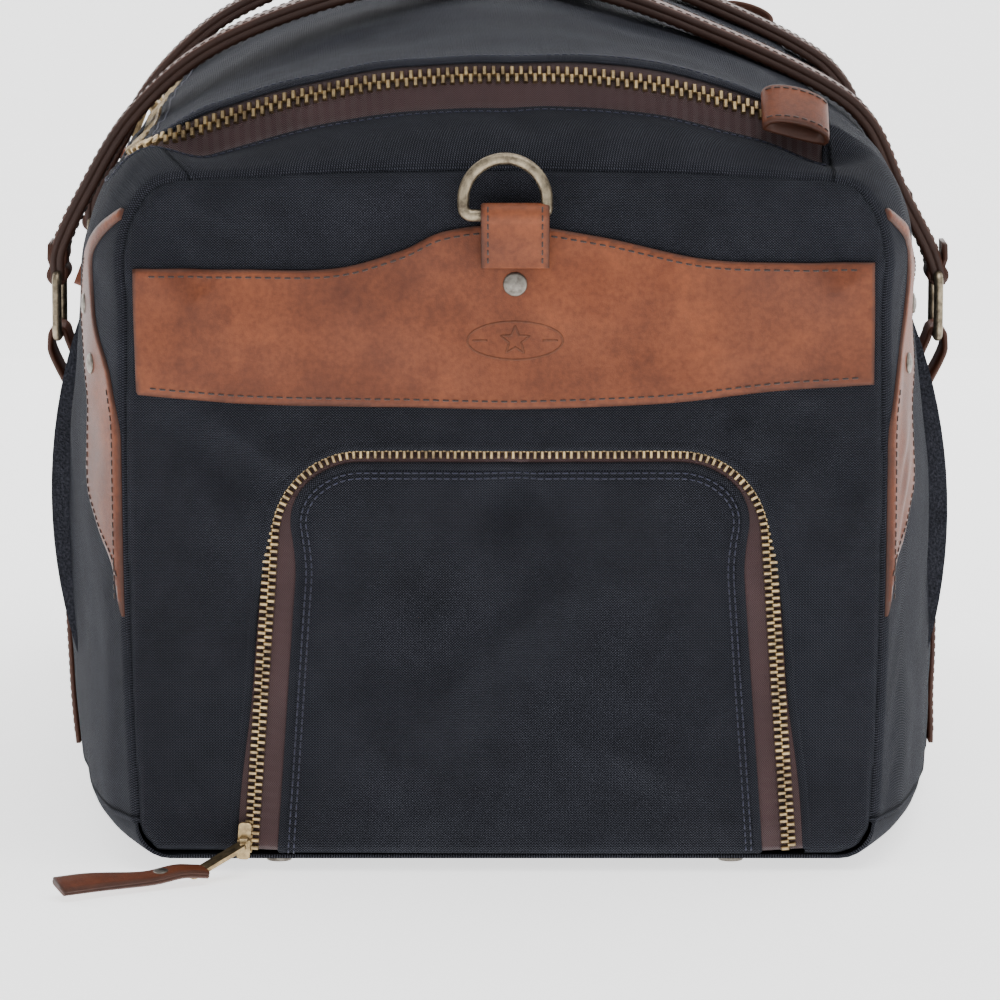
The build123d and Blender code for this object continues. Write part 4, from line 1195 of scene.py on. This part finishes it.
def handle_frames(side):
    """Middle line of a handle, and its directions across the strap and outwards."""
    arch = through([(0, 24.0)] + HANDLE_ARCH[side], 400)
    reach = RING_X[side] - GRIP_X
    straight = reach - TURN
    places = arch[arch[:, 0] < straight - 1]
    first = np.stack([places[:, 0], np.full(len(places), RING_Y), places[:, 1]], 1)
    turn = np.linspace(0, math.pi / 2, 40)
    x = straight + TURN * np.sin(turn)
    corner = np.stack([x, RING_Y - TURN + TURN * np.cos(turn), np.interp(x, arch[:, 0], arch[:, 1])], 1)
    grip = np.linspace(RING_Y - TURN, 0, 20)[1:]
    middle = np.stack([np.full_like(grip, reach), grip, np.full_like(grip, corner[-1][2])], 1)
    half = np.concatenate([first[::6], corner, middle])
    line = np.concatenate([half, (half * [1, -1, 1])[::-1][1:]])
    slope = np.gradient(arch, axis=0)
    slope = slope / np.linalg.norm(slope, axis=1)[:, None]
    nearest = np.array([np.argmin((arch[:, 0] - p[0]) ** 2 + (arch[:, 1] - p[2]) ** 2) for p in line])
    tangent = slope[nearest]
    out = np.stack([-tangent[:, 1], np.zeros(len(line)), tangent[:, 0]], 1)
    line = line * [-side, 1, 1] + [side * RING_X[side], 0, RING_LOW_Z]
    out = out * [-side, 1, 1]
    ahead = unit(np.gradient(line, axis=0))
    across = unit(np.cross(out, ahead))
    return line, across, out


def ply_outline(half, thick):
    """Section of a two-ply strap: rounded edges with a groove between the plies."""
    t = thick / 2
    top = [(-half + 2.2, t), (0, t + 0.25), (half - 2.2, t)]
    right = [(half - 0.9, t - 0.15), (half - 0.15, t - 0.9), (half, t * 0.45), (half - 0.1, 0.25),
             (half - 0.55, 0.0), (half - 0.1, -0.25), (half, -t * 0.45), (half - 0.15, -t + 0.9),
             (half - 0.9, -t + 0.15)]
    low = [(half - 2.2, -t), (0, -t), (-half + 2.2, -t)]
    left = [(-x, y) for x, y in right[::-1]]
    outline = top + right + low + left
    # edge darkens the side edges fully, and the underside at 0.3: painted shade under the strap
    edge = [0, 0, 0] + [0.6] + [1.0] * 7 + [0.8] + [0.35, 0.3, 0.35] + [0.8] + [1.0] * 7 + [0.6]
    return outline, np.array(edge)


for side, side_word in ((-1, "left"), (1, "right")):
    line, across, out = handle_frames(side)
    outline, edge = ply_outline(14.0, 6.6)
    sweep(f"{side_word}_handle_leather", line, across, out, outline, "handle", f"{side_word}_handle",
          (f"{side_word}_handle",), edge_of=edge)
    rows = []
    for w in (-10.8, 10.8):
        rows.append((line + across * w + out * 3.25, out))
        rows.append((line + across * w - out * 3.25, -out))
    stitches(f"{side_word}_handle_stitches", rows, "thread", f"{side_word}_handle", pitch=4.0, length=2.8,
             radius=0.45)
    for end, word in ((-1, "front"), (1, "back")):
        start = np.array([side * RING_X[side], end * RING_Y, RING_LOW_Z + RING_TALL])
        turn = np.linspace(math.radians(60), math.radians(-240), 22)
        loop = start + np.stack([3.6 * np.cos(turn), turn * 0, 3.6 * np.sin(turn)], 1)
        tail = np.array([[3.2, 0, 7.0], [3.0, 0, 13.0]])
        loop = np.concatenate([(start + tail)[::-1], loop, start + tail * [-1, 1, 1]])
        ahead = unit(np.gradient(loop, axis=0))
        side_way = np.tile([0.0, 1.0, 0.0], (len(loop), 1))
        flat_outline = [(-13, -1), (13, -1), (13, 1), (-13, 1)]
        sweep(f"{side_word}_{word}_handle_loop", loop, side_way, unit(np.cross(ahead, side_way)),
              flat_outline, "handle", f"{side_word}_handle", edge_of=np.array([0.7, 0.7, 0.7, 0.7]))

# ------------------------------------------------------------------ the pocket's leather puller, on the floor
PULLER_START, PULLER_WAY = np.array([-126.0, -299.0, 3.0]), unit(np.array([-53.0, -30.0, 0.0]))
PULLER_LENGTH = 58.0
run = np.linspace(-6.0, PULLER_LENGTH, 60)
sag = 1.2 * np.sin(np.clip(run, 0, PULLER_LENGTH) / PULLER_LENGTH * math.pi * 1.2)
hump = 0.7 + 1.6 * np.exp(-((run - 4) / 9) ** 2)
line = PULLER_START + PULLER_WAY * run[:, None] + np.stack([0 * run, 0 * run, hump], 1)
line = line + np.cross(PULLER_WAY, [0, 0, 1.0]) * sag[:, None] * 0.8
ahead = unit(np.gradient(line, axis=0))
tilt = np.radians(4 + 16 * fade(run, 14, 50))
level = unit(np.cross(ahead, [0, 0, 1.0]))
above = np.cross(level, ahead)
above = above * np.sign(above[:, 2:])
across = level * np.cos(tilt)[:, None] + above * np.sin(tilt)[:, None] * np.sign(level[:1, 1])
out = unit(np.cross(ahead, across))
out = out * np.sign(out[:, 2:])
line[:, 2] += 5.6 * np.sin(tilt)
outline, edge = ply_outline(5.7, 3.6)
sweep("pocket_puller_leather", line, across, out, outline, "leather", "pocket_pull", ("pocket_puller",),
      edge_of=edge)
rivet_at = int(np.argmin(np.abs(run - 12)))
domes("pocket_puller_rivet_head", [(line[rivet_at] + out[rivet_at] * 1.7, out[rivet_at])], 3.1, 1.0, "rivet",
      "pocket_pull", ("pocket_puller_rivet",))

# ------------------------------------------------------------------ the rest of the CAD nodes' looks
LOOKS = {                 # the first look with a key in the node's name
    "rivet": ("rivet", "feet"),
    "leather": ("puller", "chape", "tab", "yoke", "band", "strap"),
    "lining": ("base_board", "compartment_wall"),
    "old_brass": ("ring",),
    "brass": ("zip_stops", "slider", "pull"),
}
for name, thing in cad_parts.items():
    if thing.hide_render:
        continue
    look = next((word for word, keys in LOOKS.items() if any(key in name for key in keys)), "canvas")
    for index in range(max(1, len(thing.material_slots))):
        if not thing.data.materials:
            thing.data.materials.append(MATERIALS[look])
        thing.data.materials[index] = MATERIALS[look]

# ------------------------------------------------------------------ floor, light, camera
floor_mesh = bpy.data.meshes.new("floor")
BACKDROP_Y, BACKDROP_RADIUS = 1.2, 0.8
profile = [(-6.0, 0.0), (BACKDROP_Y, 0.0)]
profile += [(BACKDROP_Y + BACKDROP_RADIUS * math.sin(a), BACKDROP_RADIUS * (1 - math.cos(a)))
            for a in np.linspace(0.1, math.pi / 2, 14)]
profile += [(BACKDROP_Y + BACKDROP_RADIUS, 4.0)]
floor_mesh.from_pydata([(x, y, z) for y, z in profile for x in (-6, 6)], [],
                       [(2 * i, 2 * i + 1, 2 * i + 3, 2 * i + 2) for i in range(len(profile) - 1)])
floor_mesh.materials.append(new_material(
    "studio_paper", (0.94, 0.94, 0.94), 0.9, Specular_IOR_Level=0.1,
    Emission_Color=(1, 1, 1, 1), Emission_Strength=1.5)[0])
floor = bpy.data.objects.new("floor", floor_mesh)
bpy.context.collection.objects.link(floor)
floor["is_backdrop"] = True


def area_light(name, place, aim, size, power, colour=(1, 1, 1)):
    data = bpy.data.lights.new(name, "AREA")
    data.shape = "RECTANGLE"
    data.size, data.size_y = size
    data.energy = power
    data.color = colour
    lamp = bpy.data.objects.new(name, data)
    lamp.location = place
    lamp.rotation_euler = (Vector(aim) - Vector(place)).to_track_quat("-Z", "Y").to_euler()
    bpy.context.collection.objects.link(lamp)


FACE_AIM = (0, -0.2, 0.15)
area_light("key", (0.5, -0.5, 2.2), (0, -0.1, 0.2), (2.0, 1.5), 33)
area_light("left_fill", (-2.0, -1.6, 1.0), FACE_AIM, (1.2, 1.4), 8)
area_light("right_fill", (2.0, -1.5, 1.1), FACE_AIM, (1.2, 1.4), 6.5)
area_light("front_fill", (0.0, -3.4, 1.3), (0, 0, 0.15), (1.6, 0.9), 12)
world = bpy.data.worlds.new("studio")
world.use_nodes = True
world.node_tree.nodes["Background"].inputs["Color"].default_value = (1, 1, 1, 1)
world.node_tree.nodes["Background"].inputs["Strength"].default_value = 0.35
bpy.context.scene.world = world

camera_data = bpy.data.cameras.new("camera")
camera_data.sensor_width = 36
camera_data.lens = 209.5
camera = bpy.data.objects.new("camera", camera_data)
camera.location = (-0.002, -2.575, 0.512)
camera.rotation_euler = (math.radians(81.1), 0, 0)
bpy.context.collection.objects.link(camera)
bpy.context.scene.camera = camera

low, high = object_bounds()
{"cad": [list(cad_low), list(cad_high)], "visual": [list(low), list(high)]}
